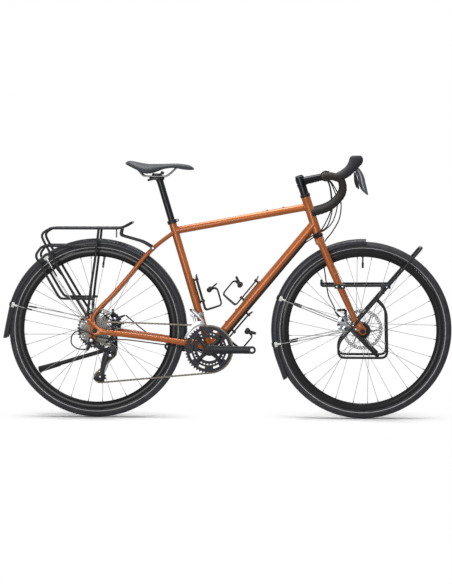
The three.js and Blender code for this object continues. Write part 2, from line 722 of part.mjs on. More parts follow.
// Hubs with their spokes: right flange, left flange and the two ends, measured to the left of the middle
const spokePairs = 8;
const spokeLean = 60 * degrees;
const spokeRadius = 1;
const spokeSides = 3;
const spokeSeat = 3;
const spokeOffset = 1.5;
const flangeHalf = 2.5;
const hubBossRadius = 15;
const axleClearance = 0.8;
const frontHub = { flangeRadius: 31, shellRadius: 27, rightFlange: -27, leftFlange: 27, rightEnd: -44,
  leftEnd: 35.5 };
const rearHub = { flangeRadius: 29, shellRadius: 18, rightFlange: -20.5, leftFlange: 32, rightEnd: -25,
  leftEnd: 50.9 };

// Brake discs
const discRadius = 80;
const discTrack = 15;
const discThickness = 1.8;
const discCentreRadius = 22;
const discBore = 8;
const discArms = 6;
const discArmWidth = 6;
const discSides = 20;

// Axles with their spacers and end nuts
const nutRadius = 9;
const nutLength = 8;
const axleSpacerRadius = 9;

function makeSpoke(hub, flange, hubAngle, lean) {
  const end = rimInner * Math.cos(Math.PI / wheelSides) - gap;
  const centre = at(0, 0, 0);
  const offset = Math.sign(lean) * spokeOffset;
  return bar(around(centre, hub.flangeRadius - spokeSeat, hubAngle, flange + offset),
    around(centre, end, hubAngle + lean, offset), spokeRadius, spokeSides);
}

function makeHub(hub) {
  const bore = axleRadius + axleClearance;
  const shell = turned([[bore, hub.rightEnd], [hubBossRadius, hub.rightEnd],
    [hubBossRadius, hub.rightFlange - flangeHalf], [hub.flangeRadius, hub.rightFlange - flangeHalf],
    [hub.flangeRadius, hub.rightFlange + flangeHalf], [hub.shellRadius, hub.rightFlange + flangeHalf],
    [hub.shellRadius, hub.leftFlange - flangeHalf], [hub.flangeRadius, hub.leftFlange - flangeHalf],
    [hub.flangeRadius, hub.leftFlange + flangeHalf], [hubBossRadius, hub.leftFlange + flangeHalf],
    [hubBossRadius, hub.leftEnd], [bore, hub.leftEnd], [bore, hub.rightEnd]], tubeSides);
  const spokes = [];
  const turn = Math.PI / spokePairs;
  for (let i = 0; i < 2 * spokePairs; i += 1) {
    const lean = i % 2 ? -spokeLean : spokeLean;
    spokes.push(makeSpoke(hub, hub.rightFlange, i * turn, lean));
    spokes.push(makeSpoke(hub, hub.leftFlange, (i + 0.5) * turn, lean));
  }
  return join(shell, spokes);
}

function makeDisc() {
  const arms = Array.from({ length: discArms }, (_, i) => {
    const angle = i * 2 * Math.PI / discArms;
    const reach = discRadius - discTrack - discCentreRadius;
    const centre = around(at(0, 0, 0), discCentreRadius + reach / 2, angle, discThickness / 2);
    return block(centre, reach + discTrack / 2, discThickness, discArmWidth, angle);
  });
  return join(ring(discRadius - discTrack, discRadius, 0, discThickness, discSides),
    ring(discBore, discCentreRadius, 0, discThickness, tubeSides), arms);
}

// An axle from the right end to the left, with the spacers that fill the room inside the dropouts
function makeAxle(outer, inner, rightSpacer, leftSpacer) {
  const end = outer + gap + nutLength;
  return turned([[0, -end], [nutRadius, -end], [nutRadius, -outer - gap], [axleRadius, -outer - gap],
    [axleRadius, gap - inner], [axleSpacerRadius, gap - inner], [axleSpacerRadius, rightSpacer],
    [axleRadius, rightSpacer], [axleRadius, leftSpacer], [axleSpacerRadius, leftSpacer],
    [axleSpacerRadius, inner - gap], [axleRadius, inner - gap], [axleRadius, outer + gap],
    [nutRadius, outer + gap], [nutRadius, end], [0, end]], smallSides);
}

// Cassette: nine sprockets from the smallest, on their carrier
const sprocketTeeth = [11, 13, 15, 17, 20, 23, 26, 30, 36];
const chainSprocket = 3;
const plainSides = 16;
const sprocketPitch = 4.34;
const sprocketHalf = 0.9;
const toothTip = 3.4;
const toothRoot = 3.6;
const carrierRadius = 17.5;
const carrierRun = 1.4;

const pitchRadius = (teeth) => chainPitch / (2 * Math.sin(Math.PI / teeth));
const sprocketPlane = (i) => -chainLine + (i - chainSprocket) * sprocketPitch;

function toothed(teeth) {
  const radius = pitchRadius(teeth);
  return Array.from({ length: 2 * teeth }, (_, i) => {
    const reach = i % 2 ? radius - toothRoot : radius + toothTip;
    return [reach * Math.cos(i * Math.PI / teeth), reach * Math.sin(i * Math.PI / teeth)];
  });
}

const cassetteEnd = sprocketPlane(0) - sprocketHalf - carrierRun;

function makeCassette() {
  const sprockets = sprocketTeeth.map((teeth, i) => {
    const faces = [sprocketPlane(i) - sprocketHalf, sprocketPlane(i) + sprocketHalf];
    return i === chainSprocket ? plate(toothed(teeth), ...faces)
      : disc(pitchRadius(teeth) + toothTip, ...faces, plainSides);
  });
  const start = sprocketPlane(sprocketTeeth.length - 1) + sprocketHalf;
  return cut(join(sprockets, disc(carrierRadius, cassetteEnd, start, tubeSides)),
    disc(axleRadius + axleClearance, 2 * cassetteEnd, overrun, tubeSides));
}

for (const [word, hub, centre, outer, inner] of [
  ['front', frontHub, frontAxle, forkDropoutOuter, forkDropoutInner],
  ['rear', rearHub, rearAxle, dropoutOuter, dropoutInner]]) {
  const tyreInner = rimOuter + gap;
  const tyreDepth = tyreRadius - tyreInner;
  const rimDepth = rimOuter - rimInner;
  const discPlace = hub.leftEnd + gap;
  const rightSpacer = (word === 'rear' ? cassetteEnd : hub.rightEnd) - gap;
  addPiece(`${word}_tyre`, turned(tyreShares.map(([depth, wide]) =>
    [tyreInner + depth * tyreDepth, wide * tyreWidth / 2]), wheelSides), 'rubber', centre);
  addPiece(`${word}_rim`, turned(rimShares.map(([depth, wide]) =>
    [rimInner + depth * rimDepth, wide * rimHalfWidth]), wheelSides), 'black', centre);
  addPiece(`${word}_hub`, makeHub(hub), 'black', centre);
  addPiece(`${word}_brake_disc`, makeDisc(), 'steel', from(centre, across, discPlace));
  addPiece(`${word}_axle`, makeAxle(outer, inner, rightSpacer, discPlace + discThickness + gap), 'black',
    centre);
}
addPiece('cassette', makeCassette(), 'steel', rearAxle);

// Chainrings on a shared bolt circle
const largeTeeth = 46;
const smallTeeth = 30;
const boltCircle = 52;
const boltTabHalf = 8;
const ringArms = 4;
const firstArm = 45 * degrees;
const largeRingBand = 15;
const smallRingBand = 14;
const ringSpacing = 7;
const ringBossRadius = 5;

const ringAngles = Array.from({ length: ringArms }, (_, i) => firstArm + i * 2 * Math.PI / ringArms);

function makeLargeRing() {
  const inner = pitchRadius(largeTeeth) - largeRingBand;
  const tabs = ringAngles.map((angle) => {
    const reach = inner - boltCircle + 2 * boltTabHalf;
    return block(around(at(0, 0, 0), inner + boltTabHalf - reach / 2, angle), reach, 2 * sprocketHalf,
      2 * boltTabHalf, angle);
  });
  return join(plate(toothed(largeTeeth), -sprocketHalf, sprocketHalf, holeOutline(inner, discSides)), tabs);
}

function makeSmallRing() {
  const inner = pitchRadius(smallTeeth) - smallRingBand;
  const bosses = ringAngles.map((angle) => disc(ringBossRadius,
    -ringSpacing + sprocketHalf + gap, 0, smallSides, around(at(0, 0, 0), boltCircle, angle)));
  return join(plate(toothed(smallTeeth), -sprocketHalf, sprocketHalf, holeOutline(inner, discSides)), bosses);
}

addPiece('chainring_large', makeLargeRing(), 'steel', from(bracket, across, -chainLine));
addPiece('chainring_small', makeSmallRing(), 'steel', from(bracket, across, ringSpacing - chainLine));

// Cranks: the right one carries the spindle and the spider, and the arms are flat at the pedal end
const spiderThickness = 5;
const spiderReach = 60;
const spiderWidth = 14;
const crankBossRadius = 20;
const crankBossOuter = 69;
const spindleEnd = 66;
const armHalfThick = 7.5;
const armHalfHigh = 16;
const armShares = [[-0.1, 0.9, 1, 0.85], [0, 0.9, 1.05, 1.15], [0.25, 0.91, 1, 0.95], [0.7, 0.95, 0.95, 0.8],
  [0.98, 1, 0.9, 0.92], [1.08, 1, 0.8, 0.75]];
const pedalPlane = 68;
const pedalBossRadius = 15.5;
const pedalBossHalf = 6.7;
const pedalHoleRadius = 7;
const bossInner = shellLength / 2 + bracketCupLength + 3 * gap;

function makeArm(side, way) {
  const pedal = at(way * crankLength, 0, 0);
  const arm = blade(armShares.map(([x, out, thick, high]) => [
    at(way * x * crankLength, side * out * pedalPlane, 0), thick * armHalfThick, high * armHalfHigh]));
  const faces = [side * pedalPlane - pedalBossHalf, side * pedalPlane + pedalBossHalf];
  const reach = [side * bossInner, side * crankBossOuter].sort((a, b) => a - b);
  return cut(join(arm, disc(pedalBossRadius, ...faces, tubeSides, pedal),
    disc(crankBossRadius, ...reach, tubeSides)),
  disc(pedalHoleRadius, -2 * pedalPlane, 2 * pedalPlane, tubeSides, pedal));
}

function makeRightCrank() {
  const inner = -chainLine - sprocketHalf - gap;
  const arms = ringAngles.map((angle) => block(
    around(at(0, 0, 0), spiderReach / 2, angle, inner - spiderThickness / 2), spiderReach, spiderThickness,
    spiderWidth, angle));
  return join(makeArm(right, 1), arms, disc(spindleRadius, -pedalPlane, spindleEnd, tubeSides));
}

function makeLeftCrank() {
  return cut(makeArm(left, -1), disc(spindleRadius + gap + gap, 0, spindleEnd + gap, tubeSides));
}
addPiece('crank_right', makeRightCrank(), 'black', bracket);
addPiece('crank_left', makeLeftCrank(), 'black', bracket);

// Rear derailleur places
const hangerBolt = at(-12, 0, 312);
const upperPin = at(0, -83, 298);
const cableStop = at(-26, -84, 279);
const lowerPin = at(52, -76, 266);
const cagePivot = at(62, 0, 252);
const guideCentre = at(60, 0, 262);
const tensionCentre = at(18, 0, 164);
const pulleyTeeth = 11;
const pulleyRadius = pitchRadius(pulleyTeeth);

// Chain: side strips that straddle the teeth, closed by a row of rollers on the free runs
const chainInnerHalf = 1.2;
const chainOuterHalf = 3;
const chainHalfHeight = 4.2;
const rollerHalfHeight = 2.6;
const chainArcStep = 14 * degrees;
const wrapDirections = [1, 1, 1, -1];

const wraps = [
  [rearAxle, pitchRadius(sprocketTeeth[chainSprocket])], [bracket, pitchRadius(largeTeeth)],
  [tensionCentre, pulleyRadius], [guideCentre, pulleyRadius]];

// The direction of the straight run from one wrapped wheel to the next
function runAngle(i) {
  const [[a, ra], [b, rb]] = [wraps[i], wraps[(i + 1) % wraps.length]];
  const reach = Math.hypot(b.x - a.x, b.z - a.z);
  const offset = wrapDirections[i] * ra - wrapDirections[(i + 1) % wraps.length] * rb;
  return Math.atan2(b.z - a.z, b.x - a.x) - Math.asin(offset / reach);
}

function chainPath() {
  const path = [];
  const runs = [];
  wraps.forEach(([centre, radius], i) => {
    const turn = wrapDirections[i];
    const start = runAngle((i + wraps.length - 1) % wraps.length) + turn * Math.PI / 2;
    const end = runAngle(i) + turn * Math.PI / 2;
    const sweep = (turn * (start - end) % (2 * Math.PI) + 2 * Math.PI) % (2 * Math.PI);
    const steps = Math.ceil(sweep / chainArcStep);
    for (let k = 0; k <= steps; k += 1) {
      path.push(around(centre, radius, start - turn * sweep * k / steps, -chainLine));
    }
    runs.push(path.length - 1);
  });
  return { path, runs };
}

function loopSkin(outlines) {
  const sides = outlines[0].length;
  const count = outlines.length * sides;
  const faces = outlines.flatMap((outline, i) => outline.flatMap((_, j) => {
    const [here, next] = [i * sides + j, i * sides + (j + 1) % sides];
    return [here, next, (next + sides) % count, here, (next + sides) % count, (here + sides) % count];
  }));
  const geometry = new THREE.BufferGeometry();
  geometry.setAttribute('position', new THREE.Float32BufferAttribute(
    outlines.flat().flatMap((point) => point.toArray()), 3));
  geometry.setIndex(faces);
  return geometry;
}

function makeChain() {
  const { path, runs } = chainPath();
  const normalAt = (before, after) => {
    const onward = after.clone().sub(before).normalize();
    return at(-onward.z, 0, onward.x);
  };
  const strips = [-1, 1].map((side) => loopSkin(path.map((point, i) => {
    const normal = normalAt(path[(i + path.length - 1) % path.length], path[(i + 1) % path.length]);
    return [[-chainHalfHeight, chainInnerHalf], [chainHalfHeight, chainInnerHalf],
      [chainHalfHeight, chainOuterHalf], [-chainHalfHeight, chainOuterHalf]].map(([up, out]) =>
      from(point, normal, up, across, side * out));
  })));
  const rollers = runs.map((index, i) => {
    const [start, end] = [path[index], path[(index + 1) % path.length]];
    const onward = end.clone().sub(start).normalize();
    const normal = normalAt(start, end);
    const margin = (radius) => Math.sqrt((radius + toothTip + rollerHalfHeight + gap) ** 2 - radius ** 2);
    const half = (chainInnerHalf + chainOuterHalf) / 2;
    const ends = [from(start, onward, margin(wraps[i][1])),
      from(end, onward, -margin(wraps[(i + 1) % wraps.length][1]))];
    return skin(ends.map((point) => [[-1, -1], [1, -1], [1, 1], [-1, 1]].map(([up, out]) =>
      from(point, normal, up * rollerHalfHeight, across, out * half))));
  });
  return join(strips, rollers);
}
addPiece('chain', makeChain(), 'steel');

// Rear derailleur: body on the hanger, link, knuckle, and the cage with its two pulleys
const bodyRadius = 12;
const bodyLength = 18;
const pinRadius = 7;
const pinHalf = 7;
const linkRadius = 5.5;
const linkCoverRadius = 9.5;
const linkCoverShares = [0.25, 0.85];
const stopRadius = 6.5;
const linkSlant = 30 * degrees;
const knuckleRadius = 11.5;
const knuckleOuter = 84;
const cagePlate = 1.5;
const cageHalfUpper = 16;
const cageHalfLower = 10;
// The outer plate's wing round the lower pulley: forward and along the cage, in shares of half its width
const wingShares = [[0.8, -2.2], [2.2, 0], [1.9, 1.5], [-0.5, 2.1], [-2.8, 1.9], [-1.1, -1.1], [-0.8, -2.4]];
const pulleyPinRadius = 3;
const pulleyBore = 3.7;
const cageRoom = 0.6;
const cageOuterFace = chainLine + chainOuterHalf + cageRoom + cagePlate;
const linkDirection = at(lowerPin.x - upperPin.x, 0, lowerPin.z - upperPin.z).normalize();
const linkAxis = at(-linkDirection.z, 0, linkDirection.x).multiplyScalar(Math.cos(linkSlant))
  .addScaledVector(across, Math.sin(linkSlant));

const pin = (centre, radius, half) => bar(from(centre, linkAxis, -half), from(centre, linkAxis, half), radius,
  smallSides);

function makeDerailleurBody() {
  const face = dropoutOuter + gap;
  const barrel = disc(bodyRadius, -face - bodyLength, -face, tubeSides, hangerBolt);
  const stop = bar(from(hangerBolt, across, cableStop.y), cableStop, stopRadius, smallSides);
  return cut(join(barrel, stop), pin(upperPin, bored(pinRadius, smallSides), 2 * pinHalf));
}

function makeDerailleurLink() {
  const [start, end] = linkCoverShares.map((share) => upperPin.clone().lerp(lowerPin, share));
  return join(pin(upperPin, pinRadius, pinHalf), pin(lowerPin, pinRadius, pinHalf),
    bar(upperPin, lowerPin, linkRadius, smallSides), bar(start, end, linkCoverRadius, smallSides));
}

function makeKnuckle() {
  const barrel = disc(knuckleRadius, -knuckleOuter, -cageOuterFace - gap, tubeSides, cagePivot);
  return cut(barrel, pin(lowerPin, bored(pinRadius, smallSides), 2 * pinHalf));
}

function cageSide(inner, winged) {
  const along = tensionCentre.clone().sub(guideCentre).normalize();
  const out = at(-along.z, 0, along.x);
  const rim = (centre, radius, start) => Array.from({ length: 5 }, (_, i) => {
    const angle = start + i * Math.PI / 4;
    const point = from(centre, out, radius * Math.cos(angle), along, radius * Math.sin(angle));
    return [point.x, point.z];
  });
  const wing = wingShares.map(([forward, onward]) => {
    const point = from(tensionCentre, out, forward * cageHalfLower, along, onward * cageHalfLower);
    return [point.x, point.z];
  });
  const lower = winged ? wing : rim(tensionCentre, cageHalfLower, 0);
  return plate([...lower, ...rim(guideCentre, cageHalfUpper, Math.PI)], inner, inner + cagePlate);
}

function makeCage() {
  const inner = chainLine - chainOuterHalf - cageRoom - cagePlate;
  const pins = [guideCentre, tensionCentre].map((centre) => disc(pulleyPinRadius, -cageOuterFace, -inner,
    smallSides, centre));
  return join(cageSide(-cageOuterFace, true), cageSide(-inner - cagePlate, false), pins);
}

addPiece('rear_derailleur_body', makeDerailleurBody(), 'black');
addPiece('rear_derailleur_link', makeDerailleurLink(), 'black');
addPiece('rear_derailleur_knuckle', makeKnuckle(), 'black');
addPiece('rear_derailleur_cage', makeCage(), 'black');
for (const [word, centre] of [['guide', guideCentre], ['tension', tensionCentre]]) {
  addPiece(`${word}_pulley`, plate(toothed(pulleyTeeth), -sprocketHalf, sprocketHalf,
    holeOutline(pulleyBore, smallSides)), 'plastic', from(centre, across, -chainLine));
}

// Front derailleur: a band on the seat tube with its pivot barrel, and the cage that swings on it
const bandPlace = 140;
const bandHeight = 12;
const bandWall = 3;
const barrelCentre = at(386, -29, 408);
const barrelHalf = 12;
const barrelRadius = 5;
const shifterCageInner = 99.5;
const shifterCageDepth = 12.5;
const shifterCageStart = 100 * degrees;
const shifterCageEnd = 156 * degrees;
const shifterCageSteps = 7;
const shifterCagePlate = 1.2;
const shifterCageHalf = 4.6;
const shifterBridge = 4;
const shifterBridgeArc = 4 * degrees;
const shifterArmLength = 12;
const shifterArmWidth = 4;

function arcPlate(centre, inner, outer, start, end, steps, yFrom, yTo) {
  const edge = (radius) => Array.from({ length: steps + 1 }, (_, i) => {
    const point = around(centre, radius, start + (end - start) * i / steps);
    return [point.x, point.z];
  });
  return plate([...edge(inner), ...edge(outer).reverse()], yFrom, yTo);
}

function makeShifterBody() {
  const bottom = from(bracket, seatAxis, bandPlace - bandHeight / 2);
  const top = from(bottom, seatAxis, bandHeight);
  const band = bar(bottom, top, seatTubeRadius + gap + bandWall);
  const barrel = bar(from(barrelCentre, forward, -barrelHalf), from(barrelCentre, forward, barrelHalf),
    barrelRadius, smallSides);
  const middle = from(bracket, seatAxis, bandPlace);
  return cut(join(band, barrel, bar(barrelCentre, middle, barrelRadius, smallSides)),
    bar(from(bottom, seatAxis, -bandHeight), from(top, seatAxis, bandHeight), seatTubeRadius + runningGap));
}

function makeShifterCage() {
  const outer = shifterCageInner + shifterCageDepth;
  const side = (y) => arcPlate(bracket, shifterCageInner, outer, shifterCageStart, shifterCageEnd,
    shifterCageSteps, y - shifterCagePlate / 2, y + shifterCagePlate / 2);
  const [near, far] = [-chainLine - shifterCageHalf, -chainLine + shifterCageHalf];
  const bridgeAt = (inner, start) => arcPlate(bracket, inner, outer, start, start + shifterBridgeArc, 1,
    near, far);
  const footAngle = shifterCageStart + (shifterCageEnd - shifterCageStart) / 3;
  const foot = around(bracket, outer - shifterBridge, footAngle,
    far + (shifterArmWidth - shifterCagePlate) / 2);
  const head = at(barrelCentre.x, barrelCentre.y - barrelRadius, barrelCentre.z);
  const arm = skin([foot, head].map((point) => [[-1, -1], [1, -1], [1, 1], [-1, 1]].map(([x, y]) =>
    from(point, forward, x * shifterArmLength / 2, across, y * shifterArmWidth / 2))));
  const clear = bar(from(barrelCentre, forward, -2 * barrelHalf),
    from(barrelCentre, forward, 2 * barrelHalf), barrelRadius + gap + gap, smallSides);
  return join(side(near), side(far), bridgeAt(outer - shifterBridge, shifterCageStart),
    bridgeAt(shifterCageInner, shifterCageEnd - shifterBridgeArc), cut(arm, clear));
}
addPiece('front_derailleur_body', makeShifterBody(), 'silver');
addPiece('front_derailleur_cage', makeShifterCage(), 'silver');

// Mudguards: a curved shell over each wheel that ends in a flap
const guardRadius = 360;
const guardDepth = 20;
const guardHalfWidth = 23;
const guardWall = 1.8;
const guardSteps = 18;
const flapSteps = 2;
const guardShares = [[-1, 0], [-0.8, 0.7], [0, 1], [0.8, 0.7], [1, 0]];
const guardBossWidth = 14;
const guardBossHigh = 12;
const crownFaceRadius = 372;
const guards = [
  { word: 'front', centre: frontAxle, start: 88, end: 200, flapEnd: 212.5, flapLift: 9,
    bosses: [[115.6, crownFaceRadius]], clips: [158.8, 189.4] },
  { word: 'rear', centre: rearAxle, start: -14, end: 168, flapEnd: 185.5, flapLift: 16,
    bosses: [[lowerBridgeAngle / degrees, bridgeRadius - bridgeTubeRadius],
      [upperBridgeAngle / degrees, bridgeRadius - bridgeTubeRadius]], clips: [124.8, 163.7] },
];

// The shell's outline at one angle, from its outer face in by a wall, raised by a lift
function guardOutline(centre, angle, lift, wall, widen = 0) {
  const layer = (inset) => guardShares.map(([out, up]) => around(centre,
    guardRadius - guardDepth + up * (guardDepth - inset) + lift, angle,
    out * (guardHalfWidth + widen - inset)));
  return [...layer(0), ...layer(wall).reverse()];
}

function makeGuard({ centre, start, end, flapEnd, flapLift, bosses }) {
  const outlines = [];
  for (let i = 0; i <= guardSteps; i += 1) {
    const angle = (start + (end - start) * i / guardSteps) * degrees;
    outlines.push(guardOutline(centre, angle, 0, guardWall));
  }
  for (let i = 1; i <= flapSteps; i += 1) {
    const share = i / flapSteps;
    const angle = (end + (flapEnd - end) * share) * degrees;
    outlines.push(guardOutline(centre, angle, flapLift * share ** 2, guardWall));
  }
  const seats = bosses.map(([angle, reach]) => {
    const long = reach - gap - guardRadius + 2 * guardWall;
    return block(around(centre, reach - gap - long / 2, angle * degrees), long, guardBossWidth,
      guardBossHigh, angle * degrees);
  });
  return join(skin(outlines), seats);
}

// Stays: two rods a side from the dropout eyelet to bands round the shell
const stayRadius = 2;
const staySides = 5;
const stayBandAngle = 2.2 * degrees;
const stayBandWall = 2;
const stayBandRise = 5;
const stayBulge = 6;
const stayBulgeShare = 0.42;
const frontStayFoot = at(wheelbase - 26, forkDropoutOuter + gap + stayRadius, tyreRadius + 8);
const rearStayFoot = at(-32, dropoutOuter + gap + stayRadius, tyreRadius + 35);
const stayFootRadius = 5;

function makeStays({ centre, clips }, foot) {
  const bands = clips.map((clip) => [-0.5, 0.5].map((share) =>
    guardOutline(centre, clip * degrees + share * stayBandAngle, gap + stayBandWall, stayBandWall,
      gap + stayBandWall)));
  const rods = [right, left].flatMap((side) => {
    const end = at(foot.x, side * foot.y, foot.z);
    const sideRods = clips.map((clip) => {
      const start = around(centre, guardRadius - guardDepth + stayBandRise, clip * degrees,
        side * (guardHalfWidth + stayBandWall));
      const bend = start.clone().lerp(end, stayBulgeShare);
      bend.y = side * (foot.y + stayBulge);
      return rod([start, bend, end], stayRadius, staySides);
    });
    return [...sideRods, disc(stayFootRadius, -stayRadius, stayRadius, smallSides, end)];
  });
  return join(bands.map(skin), rods);
}

for (const guard of guards) {
  addPiece(`${guard.word}_mudguard`, makeGuard(guard), 'plastic');
  addPiece(`${guard.word}_mudguard_stays`, makeStays(guard,
    guard.word === 'front' ? frontStayFoot : rearStayFoot), 'steel');
}

// Rear rack: deck, two bent rails with their legs, and a pannier rail on each side
const rackTubeRadius = 5;
const rackStrutRadius = 4;
const rackBend = 28;
const rackCuts = 1;
const rackSides = 5;
const rackHalfWidth = 52;
const rackLength = 300;
const rackHeight = 346;
const rackFoot = at(-28, 0, 404);
const rackFootRadius = 8;
const rackFootHalf = 3.5;
const railRun = [[0.57, 1.066, 0.75], [0.437, 1, 1], [-0.5, 1, 1], [-0.62, 0.93, 1.02], [-0.56, 0.82, 1.06],
  [-0.402, 0.583, 1.2], [-0.155, 0.211, 1.38], [0, 0, 1.53]];
const middleLeg = [[0.143, 0.995, 1], [0.098, 0.661, 1.12], [0.039, 0.301, 1.32], [0, 0, 1.53]];
const pannierRun = [[0.125, 0.802, 1.12], [-0.6, 0.8, 1.18], [-0.69, 0.69, 1.2], [-0.412, 0.268, 1.26],
  [-0.36, 0.203, 1.28], [0.08, 0.201, 1.38]];
const rackStrut = [[0.437, 0.995, 0.62], [0.415, 0.92, 0.62], [0.554, 0.886, 0.66], [0.71, 0.847, 0.72],
  [0.853, 0.773, 0.8]];
const crossPlaces = [0.57, 0.437, 0.1, -0.23, -0.5];
const deckLength = 270;
const deckWidth = 44;
const deckThickness = 3;
const deckMiddle = -20;

function rackRun(side, shares) {
  const places = shares.map(([x, z, y]) => [x, z, side * y * rackHalfWidth]);
  return spread(rackFoot, rackLength, rackHeight, places);
}

function makeRearRack() {
  const sides = [right, left].flatMap((side) => {
    const foot = side * (dropoutOuter + gap + rackFootHalf);
    return [rod(bent(rackRun(side, railRun), rackBend, rackCuts), rackTubeRadius, rackSides),
      rod(rackRun(side, middleLeg), rackTubeRadius, rackSides),
      rod(bent(rackRun(side, pannierRun), rackBend / 2, rackCuts), rackTubeRadius, rackSides),
      rod(rackRun(side, rackStrut), rackStrutRadius, rackSides),
      disc(rackFootRadius, foot - rackFootHalf, foot + rackFootHalf, smallSides, rackFoot)];
  });
  const crosses = crossPlaces.map((x, i) => {
    const [, z, y] = i ? railRun[1] : railRun[0];
    const [start, end] = [right, left].map((side) => rackRun(side, [[x, z, y]])[0]);
    return bar(start, end, rackStrutRadius, rackSides);
  });
  const deck = block(at(deckMiddle, 0, rackFoot.z + rackHeight + rackStrutRadius), deckLength, deckWidth,
    deckThickness);
  return join(sides, crosses, deck);
}
addPiece('rear_rack', makeRearRack(), 'black');

// Low front rack: one rod that goes over the tyre and loops round each side, with its bars and brackets
const lowRackSize = 403;
const lowRackHalfWidth = 75;
const lowRackBend = 26;
const lowLoop = [[0.564, 0.811], [-0.109, 0.032], [-0.235, -0.11], [-0.235, -0.252], [0.237, -0.252],
  [0.227, 0.21], [0.132, 0.31]];
const lowBrace = [[-0.115, 0.02], [0.151, -0.242]];
const lowBar = [[-0.403, 0.484], [-0.4, 0.444], [0.25, 0.448]];
const lowFootSize = 11;
const lowFoot = at(wheelbase - 36, 0, tyreRadius + 24);
const lowClampLength = 34;
const lowClampHeight = 16;

function lowPoints(side, shares) {
  return spread(frontAxle, lowRackSize, lowRackSize, shares.map(([x, z]) => [x, z, side * lowRackHalfWidth]));
}

function makeLowRack() {
  const corners = [...lowPoints(right, lowLoop).reverse(), ...lowPoints(left, lowLoop)];
  const loop = bent(corners, lowRackBend, rackCuts);
  const sides = [right, left].flatMap((side) => {
    const reach = lowRackHalfWidth - forkDropoutOuter - gap;
    const clampReach = lowRackHalfWidth - rackBossReach - gap;
    const clampPlace = rackBoss(side, lowRackHalfWidth - clampReach / 2);
    return [rod(lowPoints(side, lowBrace), rackStrutRadius, rackSides),
      rod(lowPoints(side, lowBar), rackTubeRadius, rackSides),
      block(at(lowFoot.x, side * (lowRackHalfWidth - reach / 2), lowFoot.z), lowFootSize, reach, lowFootSize),
      block(clampPlace, lowClampLength, clampReach, lowClampHeight)];
  });
  return join(rod(loop, rackTubeRadius, rackSides), sides);
}
addPiece('front_rack', makeLowRack(), 'black');

// Bottle cages: a bent wire on each side of the bottle, held by a strap on the tube
const cageLength = 141;
const cageDepth = 79;
const cageHalfWidth = 38;
const cageWireRadius = 3;
const wireShares = [[0.97, 0.22, 0], [0.96, 0.21, 0.3], [0.86, 0.16, 0.62], [0, 0.15, 0.62],
  [-0.05, 0.2, 0.6], [-0.05, 0.6, 0.5], [-0.04, 0.95, 0.36], [0.02, 1.01, 0.28], [0.41, 1.02, 0.28],
  [0.47, 0.93, 0.55], [0.47, 0.64, 0.95]];
const wireTab = [0.57, 1.05, 0.7];
const knobRadius = 7;
const knobHalf = 6;
const strapStartShare = 0.16;
const strapEndShare = 0.9;
const strapWidth = 12;
const strapThickness = 3;
const rungInset = 8;
const rungDepthShare = 0.16;
const rungWidthShare = 0.62;
const postRadius = 4;
const wireSides = 5;

function makeBottleCage(origin, along, out, surface) {
  const point = ([a, b, y], side) => from(origin, along, a * cageLength, out, surface + b * cageDepth,
    side * y * cageHalfWidth);
  const wires = [right, left].map((side) => rod(wireShares.map((share) => point(share, side)),
    cageWireRadius, wireSides));
  const knobs = [right, left].flatMap((side) => {
    const tip = point(wireShares[wireShares.length - 1], side);
    return [bar(tip, point(wireTab, side), cageWireRadius, wireSides),
      bar(from(tip, out, -knobHalf), from(tip, out, knobHalf), knobRadius, smallSides)];
  });
  const [start, end] = [strapStartShare * cageLength, strapEndShare * cageLength];
  const strapHeight = surface + gap + strapThickness / 2;
  const strap = block(from(origin, along, (start + end) / 2, out, strapHeight), end - start, strapWidth,
    strapThickness, Math.atan2(along.z, along.x));
  const rungs = [start + rungInset, end - rungInset].map((place) => {
    const share = [place / cageLength, rungDepthShare, rungWidthShare];
    const ends = [right, left].map((side) => point(share, side));
    return bar(...ends, cageWireRadius, wireSides);
  });
  const posts = [start + rungInset, end - rungInset].map((place) => {
    const foot = from(origin, along, place, out, strapHeight);
    return bar(foot, from(foot, out, rungDepthShare * cageDepth), postRadius, wireSides);
  });
  return join(wires, knobs, strap, rungs, posts);
}
const seatCagePlace = 157;
const downCagePlace = 204;
const underCagePlace = 82;
addPiece('bottle_cage_seat_tube', makeBottleCage(from(bracket, seatAxis, seatCagePlace), seatAxis, seatOut,
  seatTubeRadius), 'black');
addPiece('bottle_cage_down_tube', makeBottleCage(from(bracket, downAxis, downCagePlace), downAxis, downOut,
  downTubeRadius), 'black');
addPiece('bottle_cage_under', makeBottleCage(from(bracket, downAxis, underCagePlace), downAxis, downUnder,
  downTubeRadius), 'black');

// Brake calipers astride the discs, with the arms that the cables pull
const caliperSlot = 0.9;
const caliperSlotRun = 2;
const pivotRadius = 9;
const pivotLength = 5;
const armRadius = 2.4;
const rearCaliper = { long: 46, high: 66, from: 41, to: 65, middle: at(73, 0, 386), arm: at(34, 0, 14),
  pull: at(88, 0, -74), cableEnd: armRadius + gap };
const frontCaliper = { long: 44, high: 72, from: 27, to: 51, middle: at(977.5, 0, 372),
  arm: at(-36, 0, 48), pull: at(-24, 0, 125), cableEnd: 1.5 };

function makeCaliper(caliper, centre, hub) {
  const wide = caliper.to - caliper.from;
  const body = block(from(caliper.middle, across, (caliper.from + caliper.to) / 2), caliper.long, wide,
    caliper.high);
  const start = hub.leftEnd + gap - caliperSlot;
  const bevel = block(from(caliper.middle, at(-1, 0, 0), caliper.long / 2, upward, caliper.high / 2,
    (caliper.from + caliper.to) / 2), caliper.long / 2, 2 * wide, caliper.long / 2, 45 * degrees);
  return cut(body, bevel, disc(discRadius + caliperSlotRun, start, start + discThickness + 2 * caliperSlot,
    discSides, centre));
}

const armRoot = (caliper) => from(caliper.middle, across, caliper.to + gap + pivotLength / 2);

// A place off the free end of a brake arm, back along the cable that pulls it
function armTip(caliper, reach) {
  return from(armRoot(caliper).add(caliper.arm), caliper.pull.clone().normalize(), reach);
}

